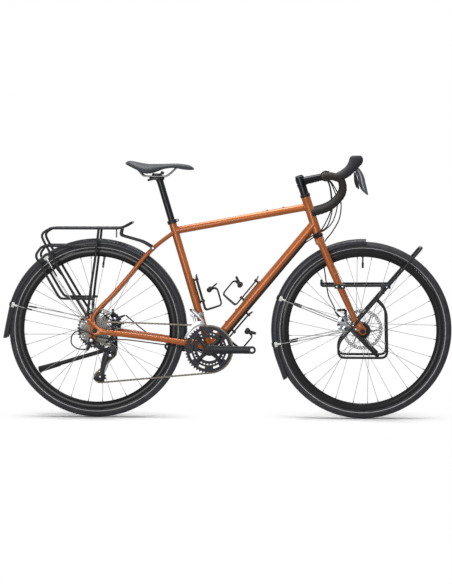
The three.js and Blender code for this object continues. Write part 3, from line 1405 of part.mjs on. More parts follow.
function makeBrakeArm(caliper) {
  const start = caliper.to + gap;
  return join(disc(pivotRadius, start, start + pivotLength, smallSides, caliper.middle),
    bar(armRoot(caliper), armTip(caliper, 0), armRadius, rodSides));
}
addPiece('rear_brake_caliper', makeCaliper(rearCaliper, rearAxle, rearHub), 'black');
addPiece('front_brake_caliper', makeCaliper(frontCaliper, frontAxle, frontHub), 'silver');
addPiece('rear_brake_arm', makeBrakeArm(rearCaliper), 'black');
addPiece('front_brake_arm', makeBrakeArm(frontCaliper), 'black');

// Cables in their housings, from the inner end of the bar tape to what they pull
const housingRadius = 2.5;
const cableSides = 5;

const cableRoom = 0.5;
const shellCableRoom = 3.5;
const cableReach = downTubeRadius + housingRadius + cableRoom;
const shellCableReach = shellRadius + housingRadius + shellCableRoom;
const armRunIn = 16;

// Places under the down tube and under the bracket shell for a cable y to the left
const underTube = (place, y) =>
  from(bracket, downAxis, place, downUnder, Math.sqrt(cableReach ** 2 - y ** 2), y);
const underShell = (angle, y) => around(bracket, shellCableReach, angle * degrees, y);

const frontBrakeRoute = [at(912, -66, 940), at(930, -60, 925), at(962, -40, 860), at(958, -5, 790),
  at(930, 40, 735), at(898, 62, 690), at(893, 64, 640), at(902, 62, 570), at(914, 60, 490),
  at(926, 58, 460), armTip(frontCaliper, armRunIn), armTip(frontCaliper, frontCaliper.cableEnd)];
const rearBrakeRoute = [at(912, 66, 940), at(930, 60, 915), at(950, 45, 850), at(934, 30, 780),
  at(900, 28, 742), at(862, 26, 727), underTube(570, 14.5), underTube(540, 14.5), underTube(130, 14.5),
  underTube(100, 14.5), underShell(-35, 15), underShell(-65, 16), underShell(-100, 18), at(415, 24, 260),
  at(395, 27, 270),
  at(345, 34, 281), at(272, 45, 293), at(215, 60, 316), at(175, 66, 343), at(140, 68, 372),
  armTip(rearCaliper, armRunIn), armTip(rearCaliper, rearCaliper.cableEnd)];
const shiftRoute = [at(912, 54, 936), at(924, 46, 900), at(930, 26, 830), at(918, 0, 775),
  at(900, -26, 748), at(866, -29, 730), underTube(570, -16), underTube(540, -16), underTube(130, -16),
  underTube(100, -16), underShell(-35, -16), underShell(-65, -17), underShell(-100, -19), at(415, -24, 260),
  at(395, -27, 270),
  at(345, -34, 281), at(272, -43, 292), at(136, -56, 311), at(60, -64, 316), at(0, -84, 330),
  at(-50, -86, 352),
  at(-85, -86, 335), at(-90, -86, 300), at(-66, -86, 279), at(-34, -84, 276)];
const shifterCableRoute = [at(912, -54, 936), at(922, -46, 900), at(926, -34, 830), at(905, -32, 775),
  at(880, -31, 735), at(852, -22, 712), underTube(560, -9.5), underTube(530, -9.5), underTube(130, -9.5),
  underTube(100, -9.5), underShell(-35, -9.5), underShell(-65, -9.5), underShell(-100, -9.5),
  underShell(-125, -9.5)];
const stepsBetween = 2;
const cableClipRadius = 2;
const cableClipPlaces = [480, 300];

const cable = (route) => rod(new THREE.CatmullRomCurve3(route, false, 'centripetal')
  .getPoints(stepsBetween * (route.length - 1)), housingRadius, cableSides);

function makeShiftCables() {
  const clips = cableClipPlaces.map((place) => bar(underTube(place, -16), underTube(place, -9.5),
    cableClipRadius, rodSides));
  return join(cable(shiftRoute), cable(shifterCableRoute), clips);
}
addPiece('front_brake_cable', cable(frontBrakeRoute), 'plastic');
addPiece('rear_brake_cable', cable(rearBrakeRoute), 'plastic');
addPiece('shift_cables', makeShiftCables(), 'plastic');

// Kickstand leg, folded back along the left stays on a slanted hinge
const standReach = at(-306, 12, -92);
const standRootRadius = 10;
const standLegRadius = 7;
const standFootRadius = 11;
const standFootStart = 0.72;

function makeStandLeg() {
  const foot = standPivot.clone().add(standReach);
  const footStart = standPivot.clone().lerp(foot, standFootStart);
  return join(bar(from(standPivot, standAxis, -standRootHalf), from(standPivot, standAxis, standRootHalf),
    standRootRadius, smallSides),
  bar(standPivot, foot, standLegRadius, smallSides),
  bar(footStart, foot, standLegRadius + 2, smallSides, standFootRadius));
}
addPiece('kickstand_leg', makeStandLeg(), 'black');

// The origin lies under the middle of the bicycle, on the ground
const box = new THREE.Box3().setFromObject(bicycle);
const middle = box.getCenter(at(0, 0, 0));
bicycle.position.set(-middle.x, -middle.y, -box.min.z);

export default bicycle;
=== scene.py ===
"""Dresses the solids of a touring bicycle: paint, tyres, spokes, chain, tape, racks and the studio."""

import json
from math import asin, atan2, ceil, cos, degrees, hypot, pi, radians, sin, sqrt

import bpy
from bpy.props import FloatProperty, FloatVectorProperty, IntProperty, PointerProperty
from mathutils import Matrix, Vector

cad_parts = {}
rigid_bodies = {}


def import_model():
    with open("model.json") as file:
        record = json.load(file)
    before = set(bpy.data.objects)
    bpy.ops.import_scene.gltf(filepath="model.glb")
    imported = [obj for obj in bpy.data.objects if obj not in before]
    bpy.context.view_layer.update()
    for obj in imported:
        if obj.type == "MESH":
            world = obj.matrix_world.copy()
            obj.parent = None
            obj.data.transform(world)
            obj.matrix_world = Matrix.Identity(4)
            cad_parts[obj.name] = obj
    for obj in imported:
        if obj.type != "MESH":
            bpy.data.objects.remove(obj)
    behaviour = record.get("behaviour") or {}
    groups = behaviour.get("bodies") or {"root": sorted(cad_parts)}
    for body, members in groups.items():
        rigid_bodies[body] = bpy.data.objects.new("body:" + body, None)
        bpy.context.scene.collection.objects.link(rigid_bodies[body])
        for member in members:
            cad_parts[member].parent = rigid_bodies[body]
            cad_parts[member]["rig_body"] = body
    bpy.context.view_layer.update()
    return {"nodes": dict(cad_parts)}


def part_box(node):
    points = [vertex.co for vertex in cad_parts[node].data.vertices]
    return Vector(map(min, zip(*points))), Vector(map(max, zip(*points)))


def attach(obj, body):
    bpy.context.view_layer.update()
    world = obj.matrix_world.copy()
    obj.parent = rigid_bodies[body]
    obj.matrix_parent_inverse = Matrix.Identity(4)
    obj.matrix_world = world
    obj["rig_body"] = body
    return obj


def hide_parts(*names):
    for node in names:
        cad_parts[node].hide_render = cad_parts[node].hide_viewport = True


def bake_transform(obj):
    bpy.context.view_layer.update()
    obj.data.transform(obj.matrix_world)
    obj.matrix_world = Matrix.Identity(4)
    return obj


bl_info = {
    "name": "Touring bicycle",
    "version": (1, 0, 0),
    "blender": (4, 5, 0),
    "location": "View3D > Sidebar > Bicycle",
    "description": "Builds the visible pieces of a touring bicycle on its fixed frame of solids",
    "category": "Object",
}

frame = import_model()
solids = frame["nodes"]

# Places start from the solids, and sizes are millimetres unless they say otherwise
MM = 0.001
ACROSS, FORWARD, UP = Vector((0, 1, 0)), Vector((1, 0, 0)), Vector((0, 0, 1))
LEFT, RIGHT = 1, -1
SIDES = {LEFT: "left", RIGHT: "right"}


def middle(node):
    """The middle of a node's box."""
    low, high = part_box(node)
    return (low + high) / 2


REAR, FRONT, BRACKET = middle("rear_tyre"), middle("front_tyre"), middle("bottom_bracket")


def at(x, y, z):
    """A place so far forward of the rear axle, to the left of the middle and above the ground."""
    return Vector((REAR.x + x * MM, y * MM, z * MM))


def off(origin, along, a, out=ACROSS, b=0, y=0):
    """A place that lies a and b along two directions from an origin, moved sideways by y."""
    return origin + along * (a * MM) + out * (b * MM) + ACROSS * (y * MM)


def around(centre, radius, angle, y=0):
    """A place on a circle in the plane of the wheels, at an angle in degrees above forward."""
    turn = radians(angle)
    return centre + Vector((radius * cos(turn), y, radius * sin(turn))) * MM


def leaning(angle):
    """The direction up a tube that leans back, at an angle in degrees from the ground."""
    return Vector((-cos(radians(angle)), 0, sin(radians(angle))))


SEAT_ANGLE = 73.5
SEAT_AXIS, HEAD_AXIS = leaning(SEAT_ANGLE), leaning(72)
SEAT_OUT = Vector((SEAT_AXIS.z, 0, -SEAT_AXIS.x))
SEAT_TOP = off(BRACKET, SEAT_AXIS, 526)
HEAD_BOTTOM = at(872.9, 0, 725.7)
HEAD_TOP = off(HEAD_BOTTOM, HEAD_AXIS, 155)
TOP_REAR, TOP_FRONT = off(SEAT_TOP, SEAT_AXIS, -42), off(HEAD_TOP, HEAD_AXIS, -40)
TOP_AXIS = (TOP_FRONT - TOP_REAR).normalized()
TOP_OUT = Vector((-TOP_AXIS.z, 0, TOP_AXIS.x))
DOWN_FRONT = off(HEAD_BOTTOM, HEAD_AXIS, 43)
DOWN_AXIS = (DOWN_FRONT - BRACKET).normalized()
DOWN_OUT = Vector((-DOWN_AXIS.z, 0, DOWN_AXIS.x))
BAR = at(903.7, 0, 954.7)

# Radii of the tubes and bores, the inner and outer faces of the dropouts, and the sizes of longer parts
SEAT_TUBE, TOP_TUBE, DOWN_TUBE, SEAT_POST, STEERER = 15.5, 14.3, 19, 13.6, 14.3
AXLE_BORE, EYE_BORE = 5.9, 2.6
REAR_DROPOUT, FORK_DROPOUT = (67.5, 73.5), (50, 55)
CHAINSTAY, BRACKET_DROP, FORK_LENGTH = 454, 74, 403


# Shapes: each starts from a primitive and is worked in edit mode or by a modifier that is applied

def activate(*pieces):
    bpy.ops.object.select_all(action="DESELECT")
    for piece in pieces:
        piece.select_set(True)
    bpy.context.view_layer.objects.active = pieces[0]
    return pieces[0]


def in_edit_mode(piece, *steps):
    """Runs edit operators on all of a piece."""
    activate(piece)
    bpy.ops.object.mode_set(mode="EDIT")
    bpy.ops.mesh.select_all(action="SELECT")
    for step, settings in steps:
        step(**settings)
    bpy.ops.object.mode_set(mode="OBJECT")
    return piece


def closed(piece):
    """Merges doubles, fills the open ends and turns the faces outwards."""
    return in_edit_mode(piece, (bpy.ops.mesh.remove_doubles, {"threshold": 0.000002}),
                        (bpy.ops.mesh.fill_holes, {"sides": 0}),
                        (bpy.ops.mesh.normals_make_consistent, {"inside": False}))


def modified(piece, kind, **settings):
    """Adds a modifier, sets it and applies it."""
    activate(piece)
    modifier = piece.modifiers.new(kind.title(), kind)
    for name, value in settings.items():
        setattr(modifier, name, value)
    bpy.ops.object.modifier_apply(modifier=modifier.name)
    return piece


def rounded(piece, width):
    return modified(piece, "BEVEL", width=width * MM, segments=2, limit_method="ANGLE",
                    angle_limit=radians(35), use_clamp_overlap=True)


def softened(piece, levels=2):
    return modified(piece, "SUBSURF", levels=levels, render_levels=levels)


def cut(piece, *tools):
    """Takes the tools out of a piece."""
    tool = joined(*tools)
    modified(piece, "BOOLEAN", object=tool, operation="DIFFERENCE", solver="EXACT", use_self=True)
    bpy.data.objects.remove(tool)
    return piece


def joined(*pieces):
    activate(*pieces)
    if len(pieces) > 1:
        bpy.ops.object.join()
    return pieces[0]


def outline(places, filled=False):
    """A closed outline through places."""
    bpy.ops.object.select_all(action="DESELECT")
    bpy.ops.mesh.primitive_circle_add(vertices=len(places), fill_type="NGON" if filled else "NOTHING")
    piece = bpy.context.object
    for vertex, place in zip(piece.data.vertices, places):
        vertex.co = place
    return piece


def plate(shares, start, end, centre=None, edge=0.0, size=1):
    """A flat plate between two planes across the bicycle, from its outline of x and z."""
    base = centre or Vector()
    piece = outline([base + Vector((x * size, start, z * size)) * MM for x, z in shares], filled=True)
    in_edit_mode(piece, (bpy.ops.mesh.extrude_region_move,
                         {"TRANSFORM_OT_translate": {"value": (0, (end - start) * MM, 0)}}))
    closed(piece)
    return rounded(piece, edge) if edge else piece


def turned(profile, origin, axis=ACROSS, steps=64):
    """A piece turned about an axis, from its closed profile of radius and place along the axis."""
    side = FORWARD if abs(axis.x) < 0.01 else axis.cross(ACROSS).normalized()
    piece = outline([off(origin, axis, along, side, radius) for radius, along in profile])
    in_edit_mode(piece, (bpy.ops.mesh.spin, {"steps": steps, "angle": 2 * pi, "center": origin,
                                             "axis": axis}))
    return closed(piece)


def rod(start, end, radius, sides=24, end_radius=None, edge=0.0):
    """A straight round bar, which may taper."""
    reach = end - start
    bpy.ops.object.select_all(action="DESELECT")
    bpy.ops.mesh.primitive_cone_add(vertices=sides, radius1=radius * MM, depth=reach.length,
                                    radius2=(radius if end_radius is None else end_radius) * MM)
    piece = bpy.context.object
    turn = reach.to_track_quat("Z", "Y").to_matrix().to_4x4()
    piece.data.transform(Matrix.Translation((start + end) / 2) @ turn)
    return rounded(piece, edge) if edge else piece


def pin(origin, axis, start, end, radius, sides=24, **more):
    """A bar between two places along an axis."""
    return rod(off(origin, axis, start), off(origin, axis, end), radius, sides, **more)


def peg(x, z, start, end, radius, sides=24, **more):
    """A bar that lies across the bicycle."""
    return rod(at(x, start, z), at(x, end, z), radius, sides, **more)


def stub(centre, reach, angle, start, end, radius, sides=24, **more):
    """A bar that lies across the bicycle, on a circle round a centre."""
    return rod(around(centre, reach, angle, start), around(centre, reach, angle, end), radius, sides, **more)


def ball(centre, radius, stretch=(1, 1, 1)):
    bpy.ops.object.select_all(action="DESELECT")
    bpy.ops.mesh.primitive_uv_sphere_add(segments=24, ring_count=12, radius=radius * MM)
    piece = bpy.context.object
    piece.data.transform(Matrix.Translation(centre) @ Matrix.Diagonal((*stretch, 1)))
    return piece


def block(centre, long, wide, high, tilt=0.0, edge=0.8):
    """A block with eased edges, turned about the line across the bicycle by a tilt in degrees."""
    bpy.ops.object.select_all(action="DESELECT")
    bpy.ops.mesh.primitive_cube_add(size=1)
    piece = bpy.context.object
    piece.data.transform(Matrix.Translation(centre) @ Matrix.Rotation(-radians(tilt), 4, "Y")
                         @ Matrix.Diagonal((long * MM, wide * MM, high * MM, 1)))
    return rounded(piece, edge) if edge else piece


def pipe(places, radius, sides=12, smooth=0, tapers=None, loop=False):
    """A round rod through places, straight between them or smooth."""
    bpy.ops.object.select_all(action="DESELECT")
    bpy.ops.curve.primitive_bezier_curve_add()
    piece = bpy.context.object
    curve = piece.data
    curve.splines.clear()
    spline = curve.splines.new("BEZIER" if smooth else "POLY")
    points = spline.bezier_points if smooth else spline.points
    points.add(len(places) - 1)
    for i, (point, place) in enumerate(zip(points, places)):
        point.co = place if smooth else (*place, 1)
        point.radius = tapers[i] if tapers else 1
        if smooth:
            point.handle_left_type = point.handle_right_type = "AUTO"
    spline.use_cyclic_u = loop
    curve.resolution_u = max(smooth, 1)
    curve.bevel_depth = radius * MM
    curve.bevel_resolution = max(sides // 4 - 1, 0)
    curve.use_fill_caps = True
    curve.twist_mode = "MINIMUM"
    bpy.ops.object.convert(target="MESH")
    return closed(bpy.context.object)


def bent(places, radius):
    """Straight runs with their corners rounded, as a bent tube has."""
    path, cuts = [places[0]], 6
    for before, corner, after in zip(places, places[1:], places[2:]):
        back, ahead = before - corner, after - corner
        reach = min(radius * MM, back.length / 2.2, ahead.length / 2.2)
        start, end = corner + back.normalized() * reach, corner + ahead.normalized() * reach
        for i in range(cuts + 1):
            share = i / cuts
            path.append(start.lerp(corner, share).lerp(corner.lerp(end, share), share))
    return path + [places[-1]]


def flowing(rows, steps):
    """Rows of numbers between the given ones, on a smooth course through them."""
    padded = [rows[0], *rows, rows[-1]]
    made = []
    for before, here, after, later in zip(padded, padded[1:], padded[2:], padded[3:]):
        for i in range(steps):
            t = i / steps
            made.append([0.5 * (2 * b + (c - a) * t + (2 * a - 5 * b + 4 * c - d) * t * t
                                + (3 * b - a - 3 * c + d) * t ** 3)
                         for a, b, c, d in zip(before, here, after, later)])
    return made + [list(rows[-1])]


def blade(stations, sides=20, steps=4):
    """A tube of changing oval section through stations of x, y, z, half-width and half-height."""
    rows = flowing([(*place, wide, high) for place, wide, high in stations], steps)
    places = [Vector(row[:3]) for row in rows]
    rings = []
    for i, (place, row) in enumerate(zip(places, rows)):
        onward = (places[min(i + 1, len(rows) - 1)] - places[max(i - 1, 0)]).normalized()
        rise = onward.cross(ACROSS).normalized()
        out = rise.cross(onward)
        rings.append(outline([off(place, out, row[3] * cos(2 * pi * j / sides), rise,
                                  row[4] * sin(2 * pi * j / sides)) for j in range(sides)]))
    return bridged(rings)


def bridged(rings):
    """A closed skin over outlines that stand one after another."""
    piece = in_edit_mode(joined(*rings), (bpy.ops.mesh.bridge_edge_loops, {}))
    return closed(piece)


def copies(piece, moves):
    """Copies of a piece, each with its own mesh, joined to it."""
    made = [piece]
    for move in moves:
        activate(piece)
        bpy.ops.object.duplicate()
        bpy.context.object.data.transform(move)
        made.append(bpy.context.object)
    return joined(*made)


def round_centre(centre, count):
    """The turns that set copies of a piece evenly round an axle."""
    return [Matrix.Translation(centre) @ Matrix.Rotation(2 * pi * i / count, 4, "Y")
            @ Matrix.Translation(-centre) for i in range(1, count)]


def coated(finish, *pieces):
    """Joins pieces and gives them the finish of that name."""
    piece = joined(*pieces)
    piece.data.materials.clear()
    piece.data.materials.append(coat(finish))
    return piece


def named(name, *pieces, angle=38):
    """Joins finished pieces under one name and smooths all but their sharp edges."""
    piece = joined(*pieces)
    piece.name = piece.data.name = name
    activate(piece)
    bpy.ops.object.transform_apply(location=True, rotation=True, scale=True)
    bpy.ops.object.shade_smooth_by_angle(angle=radians(angle))
    return piece


def settled(name, node, *pieces, angle=38):
    """Joins finished pieces, hides the solid that they stand for and ties them to its body."""
    piece = named(name, *pieces, angle=angle)
    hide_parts(node)
    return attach(piece, solids[node]["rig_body"])


# Finishes

def linear(*shades):
    """A colour in shades of 0 to 255 as the light that it stands for."""
    return tuple((s / 255 / 12.92) if s < 11 else ((s / 255 + 0.055) / 1.055) ** 2.4 for s in shades)


def colour_setting(name, description, *shades):
    return FloatVectorProperty(name=name, description=description, subtype="COLOR", size=3, min=0.0, max=1.0,
                               default=linear(*shades))


class FinishSettings(bpy.types.PropertyGroup):
    paint: colour_setting("Paint", "Metallic paint of the frame and fork", 166, 87, 28)
    black: colour_setting("Black coat", "Satin coat of the racks, cranks and bars", 26, 27, 30)
    plastic: colour_setting("Guard plastic", "Mudguards and small mouldings", 44, 45, 50)
    tread: colour_setting("Tyre rubber", "Tread and sidewall of both tyres", 54, 54, 57)
    stripe: colour_setting("Sidewall stripe", "Thin light ring on the tyre's sidewall", 196, 197, 196)
    soft: colour_setting("Soft rubber", "Lever hoods", 44, 44, 47)
    tape: colour_setting("Bar tape", "Cork tape wound on the bar", 48, 46, 45)
    cover: colour_setting("Saddle cover", "Sewn cover of the saddle", 50, 51, 55)
    silver: colour_setting("Polished alloy", "Front caliper, derailleur and bolts", 158, 160, 165)
    steel: colour_setting("Steel", "Discs and saddle rails", 140, 140, 140)


class SizeSettings(bpy.types.PropertyGroup):
    spoke_width: FloatProperty(name="Spoke width", description="Thickness of a spoke, in millimetres",
                               default=1.9, min=1.5, max=2.6)
    stripe_radius: FloatProperty(name="Stripe radius",
                                 description="Radius of the sidewall stripe, in millimetres", default=324.5,
                                 min=316.0, max=340.0)
    tread_blocks: IntProperty(name="Tread blocks", description="Blocks round each tyre", default=120, min=40,
                              max=240)
    wrap_pitch: FloatProperty(name="Tape pitch",
                              description="Distance between two turns of tape, in millimetres", default=15.0,
                              min=8.0, max=30.0)
    disc_holes: IntProperty(name="Disc holes", description="Holes round the brake track", default=48, min=12,
                            max=72)
    lamp_power: FloatProperty(name="Lamp power", description="Power of the main lamp, in watts",
                              default=112.0, min=10.0, max=1000.0)


def finishes():
    return bpy.context.scene.bicycle_finishes


def sizes():
    return bpy.context.scene.bicycle_sizes


def added(tree, kind, inputs=None, **settings):
    """Adds a shader node with its settings, and a value or a link for each named input."""
    made = tree.nodes.new(kind)
    for name, value in settings.items():
        setattr(made, name, value)
    for name, value in (inputs or {}).items():
        if isinstance(value, bpy.types.NodeSocket):
            tree.links.new(value, made.inputs[name])
        else:
            made.inputs[name].default_value = value
    return made


def sums(tree, operation, *values):
    """The outcome of one sum in a shader."""
    inputs = dict(enumerate(values))
    return added(tree, "ShaderNodeMath", inputs, operation=operation).outputs[0]


def ranged(tree, value, start, end, low=0.0, high=1.0):
    """A value moved smoothly from one range to another."""
    return added(tree, "ShaderNodeMapRange", {0: value, 1: start, 2: end, 3: low, 4: high},
                 interpolation_type="SMOOTHSTEP").outputs[0]


def noise(tree, place, scale, detail=2.0):
    return added(tree, "ShaderNodeTexNoise", {"Vector": place, "Scale": scale, "Detail": detail}).outputs[0]


def blended(tree, share, first, second):
    """A colour between two, by a share."""
    return added(tree, "ShaderNodeMix", {0: share, 6: first, 7: second}, data_type="RGBA").outputs[2]


def shaded(colour, share=1.0):
    """A colour made darker or lighter by a share, as a shader takes it."""
    return *(min(c * share, 1) for c in colour), 1


def colour_of(shade):
    """The colour of a setting, or of three shades."""
    return tuple(getattr(finishes(), shade)) if isinstance(shade, str) else linear(*shade)


def started(name, metal=0.0):
    """A new finish, its shader and the place on the piece."""
    material = bpy.data.materials.new(name)
    material.use_nodes = True
    tree = material.node_tree
    shader = tree.nodes["Principled BSDF"]
    shader.inputs["Metallic"].default_value = metal
    shader.inputs["Specular IOR Level"].default_value = 0.5 if metal > 0.5 else 0.22
    return material, tree, shader, added(tree, "ShaderNodeTexCoord").outputs["Object"]


def relief(tree, shader, height, depth):
    """Gives a finish relief of a depth in millimetres."""
    bump = added(tree, "ShaderNodeBump", {"Height": height, "Distance": depth * MM, "Strength": 1.0})
    tree.links.new(bump.outputs[0], shader.inputs["Normal"])


def plain_finish(name, shade, tone, gloss, spread, grain, depth, drift=14.0, metal=0.0, share=1.0):
    """A finish whose colour drifts to a darker tone, with a fine grain in its gloss and relief."""
    material, tree, shader, place = started(name, metal)
    colour = shaded(colour_of(shade), share)[:3]
    fine = noise(tree, place, grain, 3.0)
    broad = ranged(tree, noise(tree, place, drift), 0.35, 0.65)
    mix = blended(tree, broad, shaded(colour), shaded(colour, tone))
    speck = blended(tree, ranged(tree, fine, 0.5, 0.72, 0.0, 0.25), mix, shaded(colour, 0.5))
    tree.links.new(speck, shader.inputs["Base Color"])
    tree.links.new(ranged(tree, fine, 0.3, 0.7, gloss - spread / 2, gloss + spread / 2),
                   shader.inputs["Roughness"])
    relief(tree, shader, fine, depth)
    return material


def paint_finish(name):
    """Metallic paint under clear lacquer, with real flakes whose glints are painted in as lighter specks of
    the base colour.
    """
    colour = colour_of("paint")
    material, tree, shader, place = started(name, 0.2)
    shader.inputs["Coat Weight"].default_value = 0.3
    shader.inputs["Coat Roughness"].default_value = 0.1
    flake = added(tree, "ShaderNodeTexVoronoi", {"Vector": place, "Scale": 2400.0}).outputs["Color"]
    # Painted glints: each flake cell lifts the base colour by its own share towards a lighter copy of the
    # paint, where real flakes would catch the light
    light = sums(tree, "MULTIPLY", added(tree, "ShaderNodeSeparateColor", {0: flake}).outputs[0], 0.08)
    broad = ranged(tree, noise(tree, place, 6.0), 0.3, 0.7)
    base = blended(tree, broad, shaded(colour), shaded(colour, 0.8))
    tree.links.new(blended(tree, light, base, shaded(colour, 1.7)), shader.inputs["Base Color"])
    peel = noise(tree, place, 260.0)
    tree.links.new(ranged(tree, peel, 0.3, 0.7, 0.28, 0.38), shader.inputs["Roughness"])
    relief(tree, shader, peel, 0.003)
    return material


def wheel_place(tree, place, centre):
    """Distance from the axle, angle round it as a share of a turn, and distance across."""
    moved = added(tree, "ShaderNodeMapping", {"Vector": place, "Location": -centre}).outputs[0]
    x, y, z = added(tree, "ShaderNodeSeparateXYZ", {0: moved}).outputs
    reach = sums(tree, "SQRT", sums(tree, "ADD", sums(tree, "MULTIPLY", x, x), sums(tree, "MULTIPLY", z, z)))
    turn = sums(tree, "DIVIDE", sums(tree, "ARCTAN2", z, x), 2 * pi)
    return reach, turn, sums(tree, "ABSOLUTE", y)


def tyre_finish(name, centre):
    """Rubber with block tread, a light ring on the sidewall and fine ribs beside it."""
    size, slant_rate, rib_rate, rib_share, depth = sizes(), 110.0, 3600.0, 0.06, 1.6
    stripe_half, centre_half, tread_edge = (0.7 * MM, 1.3 * MM), (2.6 * MM, 3.4 * MM), (342.5 * MM, 345 * MM)
    material, tree, shader, place = started(name)
    reach, turn, out = wheel_place(tree, place, centre)
    ring = ranged(tree, sums(tree, "ABSOLUTE", sums(tree, "SUBTRACT", reach, size.stripe_radius * MM)),
                  *stripe_half, 1.0, 0.0)
    dust = ranged(tree, noise(tree, place, 40.0, 4.0), 0.35, 0.7)
    rubber = blended(tree, dust, shaded(colour_of("tread")), shaded(colour_of("tread"), 1.5))
    tree.links.new(blended(tree, ring, rubber, shaded(colour_of("stripe"))), shader.inputs["Base Color"])
    tree.links.new(ranged(tree, ring, 0.0, 1.0, 0.78, 0.4), shader.inputs["Roughness"])
    slant = sums(tree, "ADD", sums(tree, "MULTIPLY", turn, float(size.tread_blocks)),
                 sums(tree, "MULTIPLY", out, slant_rate))
    block_gap = ranged(tree, sums(tree, "ABSOLUTE", sums(tree, "SUBTRACT", sums(tree, "FRACT", slant), 0.5)),
                       0.06, 0.14)
    centre_rib = ranged(tree, out, *centre_half, 1.0, 0.0)
    tread = ranged(tree, reach, *tread_edge)
    worn = sums(tree, "MULTIPLY", tread, sums(tree, "MAXIMUM", block_gap, centre_rib))
    ribs = sums(tree, "MULTIPLY", sums(tree, "SINE", sums(tree, "MULTIPLY", reach, rib_rate)), rib_share)
    relief(tree, shader, sums(tree, "ADD", worn, ribs), depth)
    return material


def brushed_finish(name, centre, shade, gloss):
    """Turned metal with fine rings round an axle."""
    ring_rate, turn_rate, dark, depth = 3000.0, 6.0, 0.62, 0.03
    material, tree, shader, place = started(name, 1.0)
    reach, turn, _ = wheel_place(tree, place, centre)
    stretched = added(tree, "ShaderNodeCombineXYZ", {0: sums(tree, "MULTIPLY", reach, ring_rate),
                                                     1: sums(tree, "MULTIPLY", turn, turn_rate)}).outputs[0]
    lines = noise(tree, stretched, 1.0)
    mix = blended(tree, lines, shaded(colour_of(shade)), shaded(colour_of(shade), dark))
    tree.links.new(mix, shader.inputs["Base Color"])
    tree.links.new(ranged(tree, lines, 0.3, 0.7, gloss - 0.08, gloss + 0.1), shader.inputs["Roughness"])
    relief(tree, shader, lines, depth)
    return material


# The centre, the colour and the gloss of each turned metal
BRUSHED = {
    "front_disc_steel": (FRONT, "steel", 0.3),
    "rear_disc_steel": (REAR, "steel", 0.3),
    "ring_steel": (BRACKET, (46, 46, 50), 0.42),
    "sprocket_steel": (REAR, (94, 92, 89), 0.36),
}
# The colour of each plain finish, its darker tone, its gloss and that gloss's spread, and its grain's
# scale and depth, with any drift, metal or share of the colour that differs from the usual
PLAIN = {
    "satin_black": ("black", 0.8, 0.4, 0.16, 2200.0, 0.03),
    "gloss_black": ("black", 0.8, 0.16, 0.06, 1500.0, 0.004, 14.0, 0.35),
    "rim_black": ("black", 0.8, 0.22, 0.08, 1500.0, 0.01, 14.0, 0.0, 0.5),
    "spoke_steel": ((138, 138, 140), 0.8, 0.35, 0.1, 900.0, 0.005, 14.0, 0.6),
    "lever_alloy": ((88, 89, 93), 0.8, 0.3, 0.1, 900.0, 0.01, 14.0, 0.7),
    "stay_steel": ((150, 150, 150), 0.8, 0.35, 0.1, 900.0, 0.005, 14.0, 0.8),
    "chain_steel": ((92, 87, 78), 0.6, 0.34, 0.16, 700.0, 0.01, 160.0, 0.9),
    "guard_plastic": ("plastic", 0.85, 0.34, 0.1, 500.0, 0.02),
    "dark_plastic": ("black", 0.8, 0.5, 0.14, 900.0, 0.03),
    "hood_rubber": ("soft", 0.9, 0.72, 0.12, 1400.0, 0.12),
    "cork_tape": ("tape", 0.6, 0.82, 0.14, 900.0, 0.25, 300.0),
    "saddle_cover": ("cover", 0.85, 0.5, 0.12, 1100.0, 0.04, 8.0),
    "polished_alloy": ("silver", 0.88, 0.24, 0.14, 700.0, 0.01, 14.0, 1.0),
    "plain_steel": ("steel", 0.7, 0.32, 0.16, 600.0, 0.01, 14.0, 1.0),
    "cable_housing": ("black", 0.8, 0.45, 0.1, 3000.0, 0.02),
    "clip_plastic": ((222, 222, 218), 0.92, 0.45, 0.1, 900.0, 0.02),
}


def coat(name):
    """The finish of that name, made when it is first asked for."""
    known = bpy.data.materials.get(name)
    if known:
        return known
    if name == "copper_paint":
        return paint_finish(name)
    if name in ("front_tyre_rubber", "rear_tyre_rubber"):
        return tyre_finish(name, FRONT if name.startswith("front") else REAR)
    return brushed_finish(name, *BRUSHED[name]) if name in BRUSHED else plain_finish(name, *PLAIN[name])


# Frame and fork

def oval_run(shares, size, drop, spread, section, side, base):
    """Stations of a stay or blade, from shares of its size and of its half-width and half-height."""
    wide, high = section
    return [(off(base, FORWARD, x * size, UP, z * drop, side * out * spread), w * wide, h * high)
            for x, z, out, w, h in shares]


def dropout(shape, size, centre, faces, side, eyes, edge):
    """A flat plate that holds an axle on one side, drilled for it and for the threaded eyes."""
    inner, outer = faces if side == LEFT else (-faces[1], -faces[0])
    drill = 10
    holes = [pin(off(centre, FORWARD, x, UP, z), ACROSS, side * (faces[0] - drill), side * (faces[1] + drill),
                 radius) for x, z, radius in ((0, 0, AXLE_BORE), *((x, z, EYE_BORE) for x, z in eyes))]
    return rounded(cut(plate(shape, inner, outer, centre, size=size), *holes), edge)


def main_tubes():
    """Seat, top, down and head tube, and the bracket shell."""
    hollow = [(13.9, -345), (14.2, 0), (SEAT_TUBE, 0), (SEAT_TUBE, -545), (13.9, -545)]
    head = [(15.7, -0.5), (17.2, -0.5), (18.4, 1), (18.4, 9), (18, 12), (18, 143), (18.4, 146), (18.4, 154),
            (17.2, 155.5), (15.7, 155.5)]
    shell = [(17.4, -34), (20, -34), (20.7, -33), (20.7, 33), (20, 34), (17.4, 34)]
    return [turned(hollow, SEAT_TOP, SEAT_AXIS, 48),
            rod(off(TOP_REAR, TOP_AXIS, 2), off(TOP_FRONT, TOP_AXIS, -2), TOP_TUBE, 48),
            rod(BRACKET, DOWN_FRONT, DOWN_TUBE, 56),
            turned(head, HEAD_BOTTOM, HEAD_AXIS, 64),
            turned(shell, BRACKET, steps=64)]


